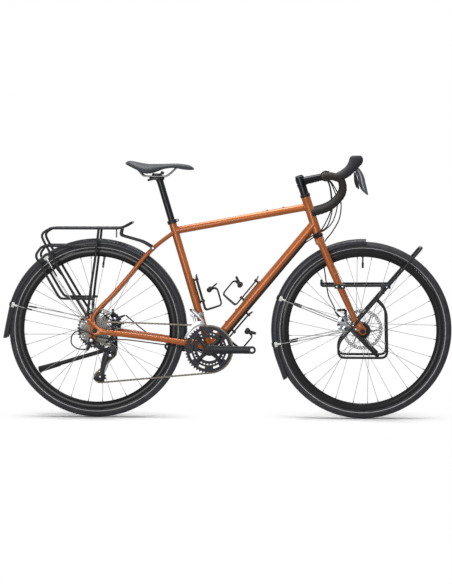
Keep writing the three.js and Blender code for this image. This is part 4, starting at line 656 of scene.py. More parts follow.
def bead(place, way):
    """The bead of braze round an end of the top tube, which follows the tube that it meets."""
    reach, radius, thick, steps = 3.2, 14.6, 1.7, 32
    turns = [2 * pi * i / steps for i in range(steps)]
    return pipe([off(place, TOP_AXIS, reach * cos(turn) ** 2 * way, TOP_OUT, radius * sin(turn),
                     radius * cos(turn)) for turn in turns], thick, 8, loop=True)


def rear_stays(side):
    """Chainstay, seatstay and dropout of one side."""
    chainstay = [(0.96, -0.9, 0.31, 1, 1.08), (0.87, -0.77, 0.4, 1, 1.04), (0.76, -0.66, 0.5, 1, 1),
                 (0.6, -0.5, 0.62, 1.05, 0.95), (0.3, -0.25, 0.83, 1, 0.92), (0.1, -0.09, 1, 0.87, 0.9),
                 (0.04, -0.02, 1.04, 0.4, 0.9)]
    seatstay = [(0.807, 1.013, 0.18), (0.571, 0.824, 0.46), (0.366, 0.583, 0.67), (0.161, 0.347, 0.89),
                (0.058, 0.244, 0.985), (-0.013, 0.152, 1.045), (-0.024, 0.09, 1.045)]
    seatstay_size, dropout_size = 380, 50
    upper = [(0.9, -0.22), (0.9, 0.12), (0.4, 0.22), (0.1, 0.5), (-0.02, 0.9), (-0.3, 1.24), (-0.74, 1.24),
             (-0.86, 0.9), (-0.74, 0.6), (-0.4, 0.4), (-0.4, -0.3)]
    plain = [(-0.25, -0.42), (0.12, -0.4)]
    hanger = [(-0.5, -0.78), (-0.42, -0.95), (-0.05, -0.95), (0.02, -0.78), (0.12, -0.4)]
    spread = REAR_DROPOUT[0]
    return [blade(oval_run(chainstay, CHAINSTAY, BRACKET_DROP, spread, (8, 12), side, REAR)),
            pipe([off(REAR, FORWARD, x * seatstay_size, UP, z * seatstay_size, side * out * spread)
                  for x, z, out in seatstay], 8, 20, smooth=5),
            dropout(upper + (hanger if side == RIGHT else plain), dropout_size, REAR, REAR_DROPOUT, side,
                    ((-32, 35), (-23, 52)), 0.9)]


def bottle_boss(foot, out):
    """A threaded boss on a tube, with its bore."""
    return cut(pin(foot, out, -3, 2.8, 4.4, edge=0.5), pin(foot, out, -2, 5, 2.4, 16))


class BuildFrame(bpy.types.Operator):
    """Brazed tubes with their stays, dropouts, bridges and threaded bosses"""
    bl_idname = "bicycle.build_frame"
    bl_label = "Frame"

    def execute(self, context):
        tubes = main_tubes()
        tubes += [bead(off(TOP_FRONT, TOP_AXIS, -17), -1), bead(off(TOP_REAR, TOP_AXIS, 15.5), 1)]
        for side in SIDES:
            tubes += rear_stays(side)
        bridge_reach, bridge_radius = 378, 6
        for angle, half in ((-9.7, 30), (55.3, 27)):
            tubes.append(stub(REAR, bridge_reach, angle, -half, half, bridge_radius))
        tubes.append(block(at(73, 62.5, 346.5), 34, 12, 12, edge=1.5))
        for origin, axis, out, radius, places in ((TOP_REAR, TOP_AXIS, TOP_OUT, TOP_TUBE, (372, 436)),
                                                  (BRACKET, DOWN_AXIS, DOWN_OUT, DOWN_TUBE, (122, 186))):
            tubes += [bottle_boss(off(origin, axis, place, out, radius), out) for place in places]
        stand = [block(at(60, 67, 302), 30, 9, 62, edge=2), peg(60, 266, 62.5, 71.5, 16, 40, edge=1.5),
                 rod(at(60, 67, 262), at(60, 76.4, 265.42), 11, 32, edge=1)]
        studs = [peg(x, z, 61.5, 73, 4, 6, edge=0.5) for x, z in ((53, 318), (67, 318), (60, 296))]
        settled("painted_frame", "frame", coated("copper_paint", *tubes), coated("satin_black", *stand),
                coated("polished_alloy", *studs))
        self.seat_clamp()
        return {"FINISHED"}

    def seat_clamp(self):
        """The collar round the seat tube's top, with its lug and bolt."""
        band = off(SEAT_TOP, SEAT_AXIS, -12)
        ring = [(16, 0), (18.6, 0), (19.4, 1), (19.4, 13), (18.6, 14), (16, 14)]
        collar = turned(ring, band, SEAT_AXIS, 48)
        ear = off(band, SEAT_AXIS, 7, SEAT_OUT, 22)
        lug = block(ear, 11, 14, 10.5, 90 - SEAT_ANGLE, 1.5)
        bolt = [pin(ear, ACROSS, -9, 9, 3, 20), pin(ear, ACROSS, -9, -6, 4, 20, edge=0.6)]
        settled("seat_collar", "seat_clamp", coated("satin_black", collar, lug),
                coated("polished_alloy", *bolt))


def fork_blade(side):
    """Raked blade, dropout and rack bosses of one side."""
    shares = [(-0.427, 0.89, 0.8, 1.08, 0.97), (-0.375, 0.785, 0.82, 1.04, 1),
              (-0.292, 0.584, 0.84, 1, 1), (-0.159, 0.291, 0.9, 0.86, 0.84),
              (-0.073, 0.107, 1, 0.64, 0.66), (-0.05, 0.066, 1.04, 0.28, 0.66)]
    tab = [(-0.8, 0.32), (-0.92, 0.6), (-0.62, 1.08), (-0.28, 0.9), (0.3, 0.25), (0.3, -0.2),
           (0.1, -0.34), (-0.25, -0.3)]
    tab_size = 45
    stations = oval_run(shares, FORK_LENGTH, FORK_LENGTH, FORK_DROPOUT[0], (12.5, 14.5), side, FRONT)
    made = [blade(stations, 24, 5),
            dropout(tab, tab_size, FRONT, FORK_DROPOUT, side, ((-26, 8), (-24, 30)), 0.8),
            peg(960, 525, side * 37, side * 57, 6, edge=0.6)]
    for x, z in ((926, 612), (944, 574)):
        made.append(peg(x, z, side * 44, side * 57, 4, 20, edge=0.5))
    return made


class BuildFork(bpy.types.Operator):
    """Steerer, crown and raked blades, with the headset cups"""
    bl_idname = "bicycle.build_fork"
    bl_label = "Fork and headset"

    def execute(self, context):
        crown = off(HEAD_BOTTOM, HEAD_AXIS, -29)
        race = [(0, -9), (17, -9), (19, -6), (19, 14.5), (17.5, 16.4), (0, 16.4)]
        pieces = [rod(crown, off(HEAD_TOP, HEAD_AXIS, 81), STEERER, 40),
                  turned(race, crown, HEAD_AXIS, 48),
                  pin(crown, ACROSS, -52, 52, 15, 40, edge=4)]
        for side in SIDES:
            pieces += fork_blade(side)
        pieces.append(block(at(1006, 48, 395), 12, 12, 30, edge=1.5))
        settled("painted_fork", "fork", coated("copper_paint", *pieces))
        ribs = [(15.7, 0), (19.4, 0), (20, 0.6), (20, 3.5), (19.2, 4.2), (20, 5), (20, 8), (18.2, 11.6),
                (15.7, 12)]
        gap = 0.3
        for word, way, end in (("upper", 1, HEAD_TOP), ("lower", -1, HEAD_BOTTOM)):
            cup = turned([(radius, way * along) for radius, along in ribs], off(end, HEAD_AXIS, way * gap),
                         HEAD_AXIS, 56)
            settled(f"{word}_headset_cup", f"headset_{word}_cup", coated("satin_black", cup))
        return {"FINISHED"}


# Bar, stem, hoods, levers and saddle

SPACER_HEIGHT, STEM_HEIGHT, BAR_TUBE, TAPE_START = 10, 40, 11.9, 72
BAR_HALF, BAR_REACH, BAR_DROP = 214, 66, 139
RAIL, RAIL_HEIGHT, RAIL_SPREAD = 3.5, 953.5, 22
SPACER = off(HEAD_TOP, HEAD_AXIS, 12.6)
STEM_FOOT = off(SPACER, HEAD_AXIS, 3 * SPACER_HEIGHT)


def bar_course(side, steps=10):
    """The bar from the start of its tape, round the bend to its end."""
    shares = [(0, 0, 0.5), (0, 0, 0.68), (0.04, 0, 0.86), (0.32, 0, 0.962), (0.83, -0.08, 0.985),
              (1, -0.27, 0.99), (0.92, -0.5, 1), (0.5, -0.74, 1.01), (-0.02, -0.89, 1.02), (-0.77, -1, 1.03)]
    rows = [(TAPE_START * side * MM + BAR.y, BAR.x, BAR.z)]
    rows += [(side * y * BAR_HALF * MM, BAR.x + x * BAR_REACH * MM, BAR.z + z * BAR_DROP * MM)
             for x, z, y in shares]
    return [Vector((x, y, z)) for y, x, z in flowing(rows, steps)]


def even(places, step):
    """Places an even step apart along a course."""
    made, left_over = [places[0]], 0.0
    for here, there in zip(places, places[1:]):
        length = (there - here).length
        along = step * MM - left_over
        while along <= length:
            made.append(here.lerp(there, along / length))
            along += step * MM
        left_over = length - (along - step * MM)
    return made + [places[-1]]


class BuildCockpit(bpy.types.Operator):
    """Stem with its spacers, drop bar and the tape wound on it"""
    bl_idname = "bicycle.build_cockpit"
    bl_label = "Stem, bar and tape"

    def execute(self, context):
        self.stem()
        bulge = [(0, -TAPE_START), (BAR_TUBE, -TAPE_START), (BAR_TUBE, -36), (15.9, -28), (15.9, 28),
                 (BAR_TUBE, 36), (BAR_TUBE, TAPE_START), (0, TAPE_START)]
        bends = [turned(bulge, BAR, steps=40)]
        bends += [pipe(bar_course(side, 6), BAR_TUBE, 24) for side in SIDES]
        settled("drop_bar", "handlebar", coated("satin_black", *bends))
        for side, word in SIDES.items():
            self.tape(side, word)
        return {"FINISHED"}

    def stem(self):
        """Spacers, clamps, extension, cap and bolts."""
        spacers = [turned([(15, a + 0.15), (16.5, a + 0.15), (16.9, a + 0.6), (16.9, a + 9.4),
                           (16.5, a + 9.85), (15, a + 9.85)], SPACER, HEAD_AXIS, 48)
                   for a in (0, SPACER_HEIGHT, 2 * SPACER_HEIGHT)]
        halfway = off(STEM_FOOT, HEAD_AXIS, STEM_HEIGHT / 2)
        reach = (BAR - halfway).normalized()
        clamp = [(15, 0), (17.6, 0), (18.6, 1.2), (18.6, 38.8), (17.6, 40), (15, 40)]
        cap = [(0, 40.3), (15.4, 40.3), (15.4, 44), (13.6, 45.4), (0, 45.4)]
        faceplate = [(16.2, -20), (20.6, -20), (21.4, -19), (21.4, 19), (20.6, 20), (16.2, 20)]
        body = [turned(clamp, STEM_FOOT, HEAD_AXIS, 48),
                rod(off(halfway, reach, 14), off(BAR, reach, -17), 16.2, 40, end_radius=14.4),
                turned(cap, STEM_FOOT, HEAD_AXIS, 48),
                turned(faceplate, BAR, steps=56)]
        bolts = [pin(STEM_FOOT, HEAD_AXIS, 45, 46.5, 4, 20, edge=0.5)]
        up = reach.cross(ACROSS)
        for y in (-13, 13):
            for rise in (-17.5, 17.5):
                bolts.append(pin(off(BAR, reach, 10, up, rise, y), reach, 0, 9, 3, 16, edge=0.5))
        for rise in (9, 31):
            foot = off(STEM_FOOT, HEAD_AXIS, rise, FORWARD, -17)
            bolts.append(pin(foot, ACROSS, -9, 9, 2.9, 16, edge=0.4))
        settled("stem_and_spacers", "stem", coated("gloss_black", *spacers, *body),
                coated("polished_alloy", *bolts))

    def tape(self, side, word):
        """Tape that swells from the start of each turn to its end, and the plug in the bar."""
        step, radius, swell = 2.5, 13.9, 1.1
        course = even(bar_course(side), step)
        turns = [radius + swell * ((i * step / sizes().wrap_pitch) % 1) for i in range(len(course))]
        course = [course[0], *course]
        tape = pipe(course, 1.0, 24, tapers=[12.4, *turns])
        last = (course[-1] - course[-3]).normalized()
        plug = pin(course[-1], last, -2, 2.2, 14.6, 32, edge=1.4)
        settled(f"tape_{word}", f"bar_tape_{word}", coated("cork_tape", tape), coated("dark_plastic", plug),
                angle=50)


HOOD_ROOT = off(BAR, FORWARD, 0.76 * BAR_REACH, UP, -0.02 * BAR_DROP)
HOOD_SIZE = 100


def hood_place(side, x, z):
    """A place on a hood, in shares of its length from where it meets the bar."""
    return off(HOOD_ROOT, FORWARD, x * HOOD_SIZE, UP, z * HOOD_SIZE, side * 0.99 * BAR_HALF)


def hood_blade(side, shares, wide, high, sides=20, steps=6):
    """A moulded or forged form along a hood, from shares of its half-width and half-height."""
    return blade([(hood_place(side, x, z), w * wide, h * high) for x, z, w, h in shares], sides, steps)


class BuildLevers(bpy.types.Operator):
    """Rubber hoods with their brake levers and shift paddles"""
    bl_idname = "bicycle.build_levers"
    bl_label = "Hoods and levers"

    def execute(self, context):
        hood = [(-0.02, 0, 0.94, 0.84), (0.18, 0.09, 0.94, 0.9), (0.4, 0.25, 0.97, 0.95),
                (0.55, 0.42, 1, 1.08), (0.65, 0.58, 0.95, 1.25), (0.69, 0.7, 0.88, 1.25),
                (0.71, 0.79, 0.65, 0.95), (0.712, 0.82, 0.3, 0.45)]
        lever = [(0.58, 0.36, 1, 1.1), (0.73, 0.27, 1, 1.5), (0.86, 0.02, 1.1, 1.9), (0.92, -0.26, 1.25, 2.1),
                 (1.0, -0.5, 1.3, 1.7), (1.1, -0.67, 1.1, 0.6)]
        paddle = [(0.64, 0.16, 0.6, 1), (0.66, 0, 0.8, 1.8), (0.69, -0.2, 1, 2.6), (0.74, -0.4, 0.8, 1.9),
                  (0.76, -0.46, 0.5, 0.8)]
        for side, word in SIDES.items():
            slot = block(hood_place(side, 0.72, 0.24), 46, 12.2, 43, edge=0)
            rim = pipe(bar_course(side, 6), 15.3, 24)
            grip = rounded(cut(hood_blade(side, hood, 16, 19, 24, 5), slot, rim), 0.8)
            settled(f"grip_hood_{word}", f"lever_hood_{word}", coated("hood_rubber", grip), angle=50)
            pivot = rod(hood_place(side, 0.78, 0.115), hood_place(side, 0.665, 0.146), 2.5, 20)
            settled(f"lever_{word}", f"brake_lever_{word}",
                    coated("lever_alloy", hood_blade(side, lever, 6, 5), pivot), angle=50)
            settled(f"paddle_{word}", f"shift_paddle_{word}",
                    coated("dark_plastic", hood_blade(side, paddle, 9, 2)), angle=50)
        return {"FINISHED"}


class BuildSaddle(bpy.types.Operator):
    """Sewn saddle on its rails, with the seatpost and its clamp head"""
    bl_idname = "bicycle.build_saddle"
    bl_label = "Saddle and seatpost"

    def execute(self, context):
        self.saddle()
        self.rails()
        self.post()
        return {"FINISHED"}

    def saddle(self):
        """The padded shell, from outlines across it at shares of its length."""
        stations = [(0.0, 0.8, 0.74, 0.3), (0.01, 0.9, 0.72, 0.42), (0.06, 1, 0.6, 0.75),
                    (0.16, 0.925, 0.37, 0.96), (0.3, 0.81, 0.06, 1), (0.42, 0.79, 0.17, 0.8),
                    (0.55, 0.785, 0.4, 0.5), (0.7, 0.805, 0.47, 0.33), (0.84, 0.77, 0.36, 0.27),
                    (0.94, 0.66, 0.33, 0.22), (0.995, 0.47, 0.36, 0.11)]
        crown = [(-1, 0), (-0.97, 0.45), (-0.78, 0.83), (-0.42, 0.98), (0, 0.94), (0.42, 0.98), (0.78, 0.83),
                 (0.97, 0.45), (1, 0), (0.8, 0.06), (0.45, 0.5), (0, 0.56), (-0.45, 0.5), (-0.8, 0.06)]
        back, length, half_width, low, height = 118, 270, 74, 958, 58
        rings = []
        for along, top, edge, wide in flowing(stations, 3):
            rise = (top - edge) * height
            rings.append(outline([at(back + along * length, out * wide * half_width,
                                     low + edge * height + up * rise) for out, up in crown]))
        pad = softened(bridged(rings), 2)
        settled("sewn_saddle", "saddle", coated("saddle_cover", pad), angle=60)

    def rails(self):
        """Two bent rails, joined at the nose."""
        shares = [(0, 1.66, 1.5), (0.18, 0, 1), (0.74, 0, 1), (0.85, 0.6, 0.9), (1, 1.62, 0.4)]
        start, length, spread = 160, 160, RAIL_SPREAD
        made = [pipe(bent([at(start + x * length, side * y * spread, RAIL_HEIGHT + z * spread)
                           for x, z, y in shares], 12), RAIL, 16) for side in SIDES]
        made.append(peg(320, 989.1, -8.8, 8.8, RAIL, 16))
        settled("rails", "saddle_rails", coated("plain_steel", *made))

    def post(self):
        """The post, its clamp round the rails and the clamp's bolts."""
        end = off(SEAT_TOP, SEAT_AXIS, (at(247.5, 0, 938) - SEAT_TOP).dot(SEAT_AXIS) / MM)
        post = [rod(off(SEAT_TOP, SEAT_AXIS, -206), end, SEAT_POST, 40),
                rod(off(end, SEAT_AXIS, -14), at(242, 0, 951), 13.4, 40, end_radius=11)]
        head = [block(at(242, 0, 946), 60, 58, 14, edge=4), block(at(243, 0, 959.4), 40, 56, 11, edge=3),
                block(at(213, 0, 940), 20, 26, 9, 14, edge=3),
                block(at(262, 0, 967), 14, 20, 12, -20, edge=3)]
        grooves = [rod(at(190, y, RAIL_HEIGHT), at(296, y, RAIL_HEIGHT), RAIL + 0.6, 20)
                   for y in (-RAIL_SPREAD, RAIL_SPREAD)]
        bolts = [pin(at(x, 0, 938), UP, 0, 28, 3, 16, edge=0.5) for x in (226, 258)]
        settled("post_and_clamp", "seatpost", coated("gloss_black", *post, cut(joined(*head), *grooves)),
                coated("polished_alloy", *bolts))


# Wheels

RIM_INNER, RIM_DEPTH, TYRE_INNER, TYRE_DEPTH, TYRE_HALF = 289, 27, 316.3, 32.7, 18.5
DISC_THICK, DISC_GAP = 1.8, 0.3
HUBS = {
    "front": {"centre": FRONT, "flange": 31, "flanges": (-27, 27), "ends": (-44, 35.5), "valve": 90,
              "barrel": [(25.14, -23), (22.14, -18), (27, -18), (27, 18)], "dropout": FORK_DROPOUT,
              "spacer": -44.3},
    "rear": {"centre": REAR, "flange": 29, "flanges": (-20.5, 32), "ends": (-25, 50.9), "valve": 84,
             "barrel": [(17.76, -16.5), (14.76, -11.5), (14.76, 23), (17.76, 28)], "dropout": REAR_DROPOUT,
             "spacer": -63.5},
}


def make_spokes(hub):
    """Crossed spokes from both flanges to the rim, each with its nipple and head."""
    centre, radius = hub["centre"], sizes().spoke_width / 2
    sweep, shift, head_out, rim_out, pairs = 57.66, 5.6, 1.4, 0.6, 8
    made = []
    for flange, phase, side in zip(hub["flanges"], (0, 11.25), (RIGHT, LEFT)):
        for way, first in ((1, phase), (-1, phase + shift)):
            foot = around(centre, hub["flange"] - 3, first, flange + way * side * head_out)
            rim = around(centre, RIM_INNER + 1, first + way * sweep, side * rim_out)
            along = (rim - foot).normalized()
            spoke = joined(rod(foot, rim, radius, 8), ball(foot, 2.1),
                           rod(off(rim, along, -11), rim, 1.7, 10, end_radius=2.2))
            made.append(copies(spoke, round_centre(centre, pairs)))
    return joined(*made)


class BuildWheels(bpy.types.Operator):
    """Tyres, rims, spoked hubs, brake discs and axles"""
    bl_idname = "bicycle.build_wheels"
    bl_label = "Wheels"

    def execute(self, context):
        for word, hub in HUBS.items():
            self.tyre(word, hub["centre"])
            self.rim(word, hub["centre"], hub["valve"])
            self.hub(word, hub)
            self.disc(word, hub["centre"], hub["ends"][1] + DISC_GAP)
            self.axle(word, hub)
        return {"FINISHED"}

    def tyre(self, word, centre):
        """The casing, from shares of its depth and half-width."""
        half = [(0, -0.57), (0.06, -0.7), (0.14, -0.86), (0.26, -0.97), (0.4, -1), (0.56, -0.96),
                (0.7, -0.86), (0.83, -0.68), (0.92, -0.45), (0.98, -0.2), (1, 0)]
        shares = half + [(d, -w) for d, w in reversed(half[:-1])]
        casing = turned([(TYRE_INNER + d * TYRE_DEPTH, w * TYRE_HALF) for d, w in shares], centre, steps=192)
        settled(f"{word}_casing", f"{word}_tyre", coated(f"{word}_tyre_rubber", casing), angle=60)

    def rim(self, word, centre, valve_angle):
        """The hoop with the valve that stands in it."""
        half = [(0, -3.5), (0.05, -5), (0.4, -11.2), (0.46, -12), (0.94, -12), (1, -11.4), (1, -10),
                (0.86, -9.6)]
        section = half + [(d, -w) for d, w in reversed(half)]
        hoop = turned([(RIM_INNER + d * RIM_DEPTH, w) for d, w in section], centre, steps=160)
        foot = around(centre, RIM_INNER + 2, valve_angle)
        inward = (centre - foot).normalized()
        valve = [pin(foot, inward, 0, 34, 3, 16),
                 pin(foot, inward, 24, 46, 4.6, 20, end_radius=3.9, edge=0.8),
                 pin(foot, inward, -1, 3.4, 5.6, 16, edge=0.4)]
        settled(f"{word}_hoop", f"{word}_rim", coated("rim_black", hoop), coated("dark_plastic", *valve))

    def hub(self, word, hub):
        """The shell with its two flanges, and the spokes."""
        (near, far), (start, end), flange = hub["flanges"], hub["ends"], hub["flange"]
        profile = [(AXLE_BORE, start), (13, start), (15, start + 1.5), (15, near - 4.2),
                   (flange - 1, near - 2.5), (flange, near - 1.8), (flange, near + 1.8),
                   (flange - 1.5, near + 2.5), *hub["barrel"], (flange - 1.5, far - 2.5),
                   (flange, far - 1.8), (flange, far + 1.8), (flange - 1, far + 2.5), (15, far + 4.2),
                   (15, end - 1.2), (14, end), (AXLE_BORE, end)]
        shell = turned(profile, hub["centre"], steps=72)
        settled(f"{word}_spoked_hub", f"{word}_hub", coated("satin_black", shell),
                coated("spoke_steel", make_spokes(hub)), angle=32)

    def disc(self, word, centre, face):
        """The drilled track with its scalloped edges, its arms, core and bolts."""
        back = face + DISC_THICK
        holes = sizes().disc_holes
        track = turned([(66, face), (80, face), (80, back), (66, back)], centre, steps=96)
        tools = [(reach, 360 / holes * shift, 2.1, 10, holes) for reach, shift in ((70, 0), (75.4, 0.5))]
        tools += [(81.2, 0, 3, 12, 12), (64.6, 15, 4, 12, 12)]
        track = cut(track, *[copies(stub(centre, reach, angle, face - 2, face + 4, radius, sides),
                                    round_centre(centre, count))
                             for reach, angle, radius, sides, count in tools])
        arm = plate([(18, -5), (40, -9.5), (68, -4.5), (68, 1.5), (42, -3), (18, 3)], face, back, centre)
        arms = copies(arm, round_centre(centre, 6))
        core = turned([(9, face), (22, face), (22, back), (9, back)], centre, steps=48)
        bolts = copies(stub(centre, 18, 0, face + 1.2, face + 3.6, 3.1, 16, edge=0.5),
                       round_centre(centre, 6))
        settled(f"{word}_drilled_disc", f"{word}_brake_disc", coated(f"{word}_disc_steel", track, arms),
                coated("satin_black", core), coated("polished_alloy", bolts))

    def axle(self, word, hub):
        """The shaft with a collar and a nut at each dropout."""
        inner, outer = hub["dropout"]
        gap, shaft, collar = 0.3, 5, 8.8
        left, right = hub["ends"][1] + 2.4, hub["spacer"]
        nut = [(0, outer + 8.3), (7.4, outer + 8.3), (8.9, outer + 7), (8.9, outer + gap),
               (shaft, outer + gap), (shaft, inner - gap), (collar, inner - gap)]
        profile = [(radius, -y) for radius, y in nut]
        profile += [(collar, right), (shaft, right), (shaft, left), (collar, left), *reversed(nut)]
        settled(f"{word}_wheel_axle", f"{word}_axle",
                coated("dark_plastic", turned(profile, hub["centre"], steps=40)))


# Drive

CHAIN_LINE, PITCH = 48.5, 12.7
CASSETTE, LARGE_RING, SMALL_RING, PULLEY = (11, 13, 15, 17, 20, 23, 26, 30, 36), 46, 30, 11
CHAIN_SPROCKET, SPROCKET_GAP, RING_GAP, PLATE_HALF = 3, 4.34, 7, 0.9
CRANK, PEDAL_PLANE, BOLT_CIRCLE, ARM_ANGLES = 170, 68, 52, (45, 135, 225, 315)


def pitch_radius(teeth):
    return PITCH / (2 * sin(pi / teeth))


def toothed(teeth, plane, centre):
    """A flat ring or disc of teeth with narrow tips and round valleys."""
    radius, depth, tip = pitch_radius(teeth), 3.6, 3.4
    rows = []
    for i in range(teeth):
        for share, reach in ((0.0, -depth), (0.17, -depth * 0.72), (0.36, tip * 0.45), (0.44, tip),
                             (0.56, tip), (0.64, tip * 0.45), (0.83, -depth * 0.72)):
            turn = 2 * pi * (i + share) / teeth
            rows.append(((radius + reach) * cos(turn), (radius + reach) * sin(turn)))
    return plate(rows, plane - PLATE_HALF, plane + PLATE_HALF, centre)


def slots(centre, radius, count, half, width, face, phase=0.0):
    """Tools for long round-ended slots round a ring."""
    steps = 6
    first = pipe([around(centre, radius, phase - half + 2 * half * i / steps) for i in range(steps + 1)],
                 width, 12)
    first.data.transform(Matrix.Translation((0, face * MM, 0)) @ Matrix.Diagonal((1, 3, 1, 1)))
    return copies(first, round_centre(centre, count))


class BuildDrive(bpy.types.Operator):
    """Cranks, chainrings, cassette and bottom bracket"""
    bl_idname = "bicycle.build_drive"
    bl_label = "Cranks and sprockets"

    def execute(self, context):
        self.cassette()
        self.chainrings()
        for side, word in SIDES.items():
            self.crank(side, word)
        cup = [(13.4, -43.3), (20.4, -43.3), (21.4, -42.2), (21.4, -34.3), (16.8, -34.3), (16.8, 34.3),
               (21.4, 34.3), (21.4, 42.2), (20.4, 43.3), (13.4, 43.3)]
        settled("bracket_cups", "bottom_bracket", coated("satin_black", turned(cup, BRACKET, steps=64)))
        return {"FINISHED"}

    def cassette(self):
        """Sprockets, slotted where there is room, on the body that drives the hub."""
        core, web, smallest = 19, 1.5, 18
        rings = []
        for i, teeth in enumerate(CASSETTE):
            plane = (i - CHAIN_SPROCKET) * SPROCKET_GAP - CHAIN_LINE
            ring = toothed(teeth, plane, REAR)
            if teeth > smallest:
                width = (pitch_radius(teeth) - 4.5 - core) / 2 - web
                ring = cut(ring, slots(REAR, core + width + web, 8, 11, width, plane, i * 9))
            rings.append(ring)
        body = turned([(AXLE_BORE, -64), (15, -64), (17, -62.9), (17.4, -60), (17.4, -26), (AXLE_BORE, -26)],
                      REAR, steps=48)
        settled("sprockets", "cassette", coated("sprocket_steel", *rings[:-1]),
                coated("dark_plastic", rings[-1], body))

    def chainrings(self):
        """Both rings, bored for the spider, with the tabs and bosses that its bolts hold."""
        large = cut(toothed(LARGE_RING, -CHAIN_LINE, BRACKET), pin(BRACKET, ACROSS, -60, -40, 62, 96),
                    slots(BRACKET, 74, 8, 9.5, 4.2, -CHAIN_LINE, 22.5))
        tabs = [block(around(BRACKET, 61, angle, -CHAIN_LINE), 22, 2 * PLATE_HALF, 17, angle, 0.4)
                for angle in ARM_ANGLES]
        settled("large_chainring", "chainring_large", coated("ring_steel", large, *tabs))
        plane = RING_GAP - CHAIN_LINE
        small = cut(toothed(SMALL_RING, plane, BRACKET), pin(BRACKET, ACROSS, -60, -30, 46.6, 80))
        bosses = [stub(BRACKET, BOLT_CIRCLE, angle, plane - 5.8, plane, 5, edge=0.4) for angle in ARM_ANGLES]
        settled("small_chainring", "chainring_small", coated("ring_steel", small, *bosses))

    def crank(self, side, word):
        """One arm, bored for its pedal, with the spider and the axle on the right one."""
        shares = [(-0.1, 0.9, 1, 0.85), (0, 0.9, 1.05, 1.15), (0.25, 0.91, 1, 0.95), (0.7, 0.95, 0.95, 0.86),
                  (0.95, 1, 0.85, 0.86), (1.02, 1, 0.8, 0.8), (1.06, 1, 0.7, 0.6), (1.08, 1, 0.5, 0.3)]
        eye = [(0, -6.4), (14.6, -6.4), (15.3, -5.4), (15.3, 5.4), (14.6, 6.4), (0, 6.4)]
        boss = [(0, 44.5), (18.6, 44.5), (20, 46), (20, 66), (17, 68.8), (0, 69)]
        cap = [(0, 68.6), (11, 68.6), (11, 69.8), (9, 70.6), (0, 70.6)]
        outward, thick, high = ACROSS * side, 7.5, 17.5
        pedal = off(BRACKET, FORWARD, -side * CRANK)
        arm = blade([(off(BRACKET, FORWARD, -side * x * CRANK, outward, out * PEDAL_PLANE), t * thick,
                      h * high) for x, out, t, h in shares], 24, 6)
        body = joined(arm, turned(eye, off(pedal, outward, PEDAL_PLANE), steps=48),
                      turned(boss, BRACKET, outward, 56))
        body = cut(body, pin(pedal, outward, 50, 90, 7.1, 32))
        black, dark = [body], [turned(cap, BRACKET, outward, 32)]
        if side == RIGHT:
            arms, nuts = self.spider()
            black += [*arms, pin(BRACKET, ACROSS, -66, 66, 12, 40)]
            dark += nuts
        else:
            black = [cut(body, pin(BRACKET, ACROSS, 30, 66.4, 12.7, 40))]
        settled(f"crank_arm_{word}", f"crank_{word}", coated("satin_black", *black),
                coated("dark_plastic", *dark), angle=34)

    def spider(self):
        """The four arms that carry the rings, and the nuts of the ring bolts."""
        stations = ((12, 5.2, 3.6, 12), (30, 4.2, 2.8, 9), (48, 3.9, 2.6, 7.4), (60, 3.9, 2.4, 7))
        arms = [blade([(around(BRACKET, reach, angle, -CHAIN_LINE - out), thick, high)
                       for reach, out, thick, high in stations], 16) for angle in ARM_ANGLES]
        nuts = [stub(BRACKET, BOLT_CIRCLE, angle, -CHAIN_LINE - 4, -CHAIN_LINE - 7.4, 4.6, 20, edge=0.6)
                for angle in ARM_ANGLES]
        return arms, nuts


UPPER_PIN, LOWER_PIN, CABLE_STOP = at(0, -83, 298), at(52, -76, 266), at(-26, -84, 279)
CAGE_PIVOT, GUIDE, TENSION = at(62, 0, 252), at(60, 0, 262), at(18, 0, 164)
WRAPS = ((REAR, pitch_radius(CASSETTE[CHAIN_SPROCKET]), 1), (BRACKET, pitch_radius(LARGE_RING), 1),
         (TENSION, pitch_radius(PULLEY), 1), (GUIDE, pitch_radius(PULLEY), -1))


def run_angle(i):
    """The direction of the straight run that leaves one wrap of the chain for the next."""
    (a, ra, da), (b, rb, db) = WRAPS[i % 4], WRAPS[(i + 1) % 4]
    reach = hypot(b.x - a.x, b.z - a.z) / MM
    return atan2(b.z - a.z, b.x - a.x) - asin((da * ra - db * rb) / reach)


def chain_course():
    """Places along the chain, round the two rings and the two pulleys."""
    course = []
    for i, (centre, radius, way) in enumerate(WRAPS):
        start, end = run_angle(i + 3) + way * pi / 2, run_angle(i) + way * pi / 2
        sweep = way * (start - end) % (2 * pi)
        steps = ceil(sweep / radians(4))
        for k in range(steps + 1):
            turn = start - way * sweep * k / steps
            course.append(off(centre, FORWARD, radius * cos(turn), UP, radius * sin(turn), -CHAIN_LINE))
    return course


def chain_link(reach):
    """Two waisted plates that far from the middle, with a roller and a rivet at one end."""
    half, end = PITCH / 2, 3.9
    eye = [(-half - end * cos(radians(angle)), end * sin(radians(angle))) for angle in (-60, 0, 60)]
    eye += [(-half + 2.6, 3.4), (0, 2.5)]
    side = eye + [(-x, z) for x, z in reversed(eye[:-1])] + [(0, -2.5), (-half + 2.6, -3.4)]
    plates = [plate(side, y - 0.4, y + 0.4) for y in (-reach, reach)]
    joint = Vector((-half, 0, 0)) * MM
    return joined(*plates, pin(joint, ACROSS, -2.1, 2.1, 3.7, 8), pin(joint, ACROSS, -3.1, 3.1, 1.9, 8))


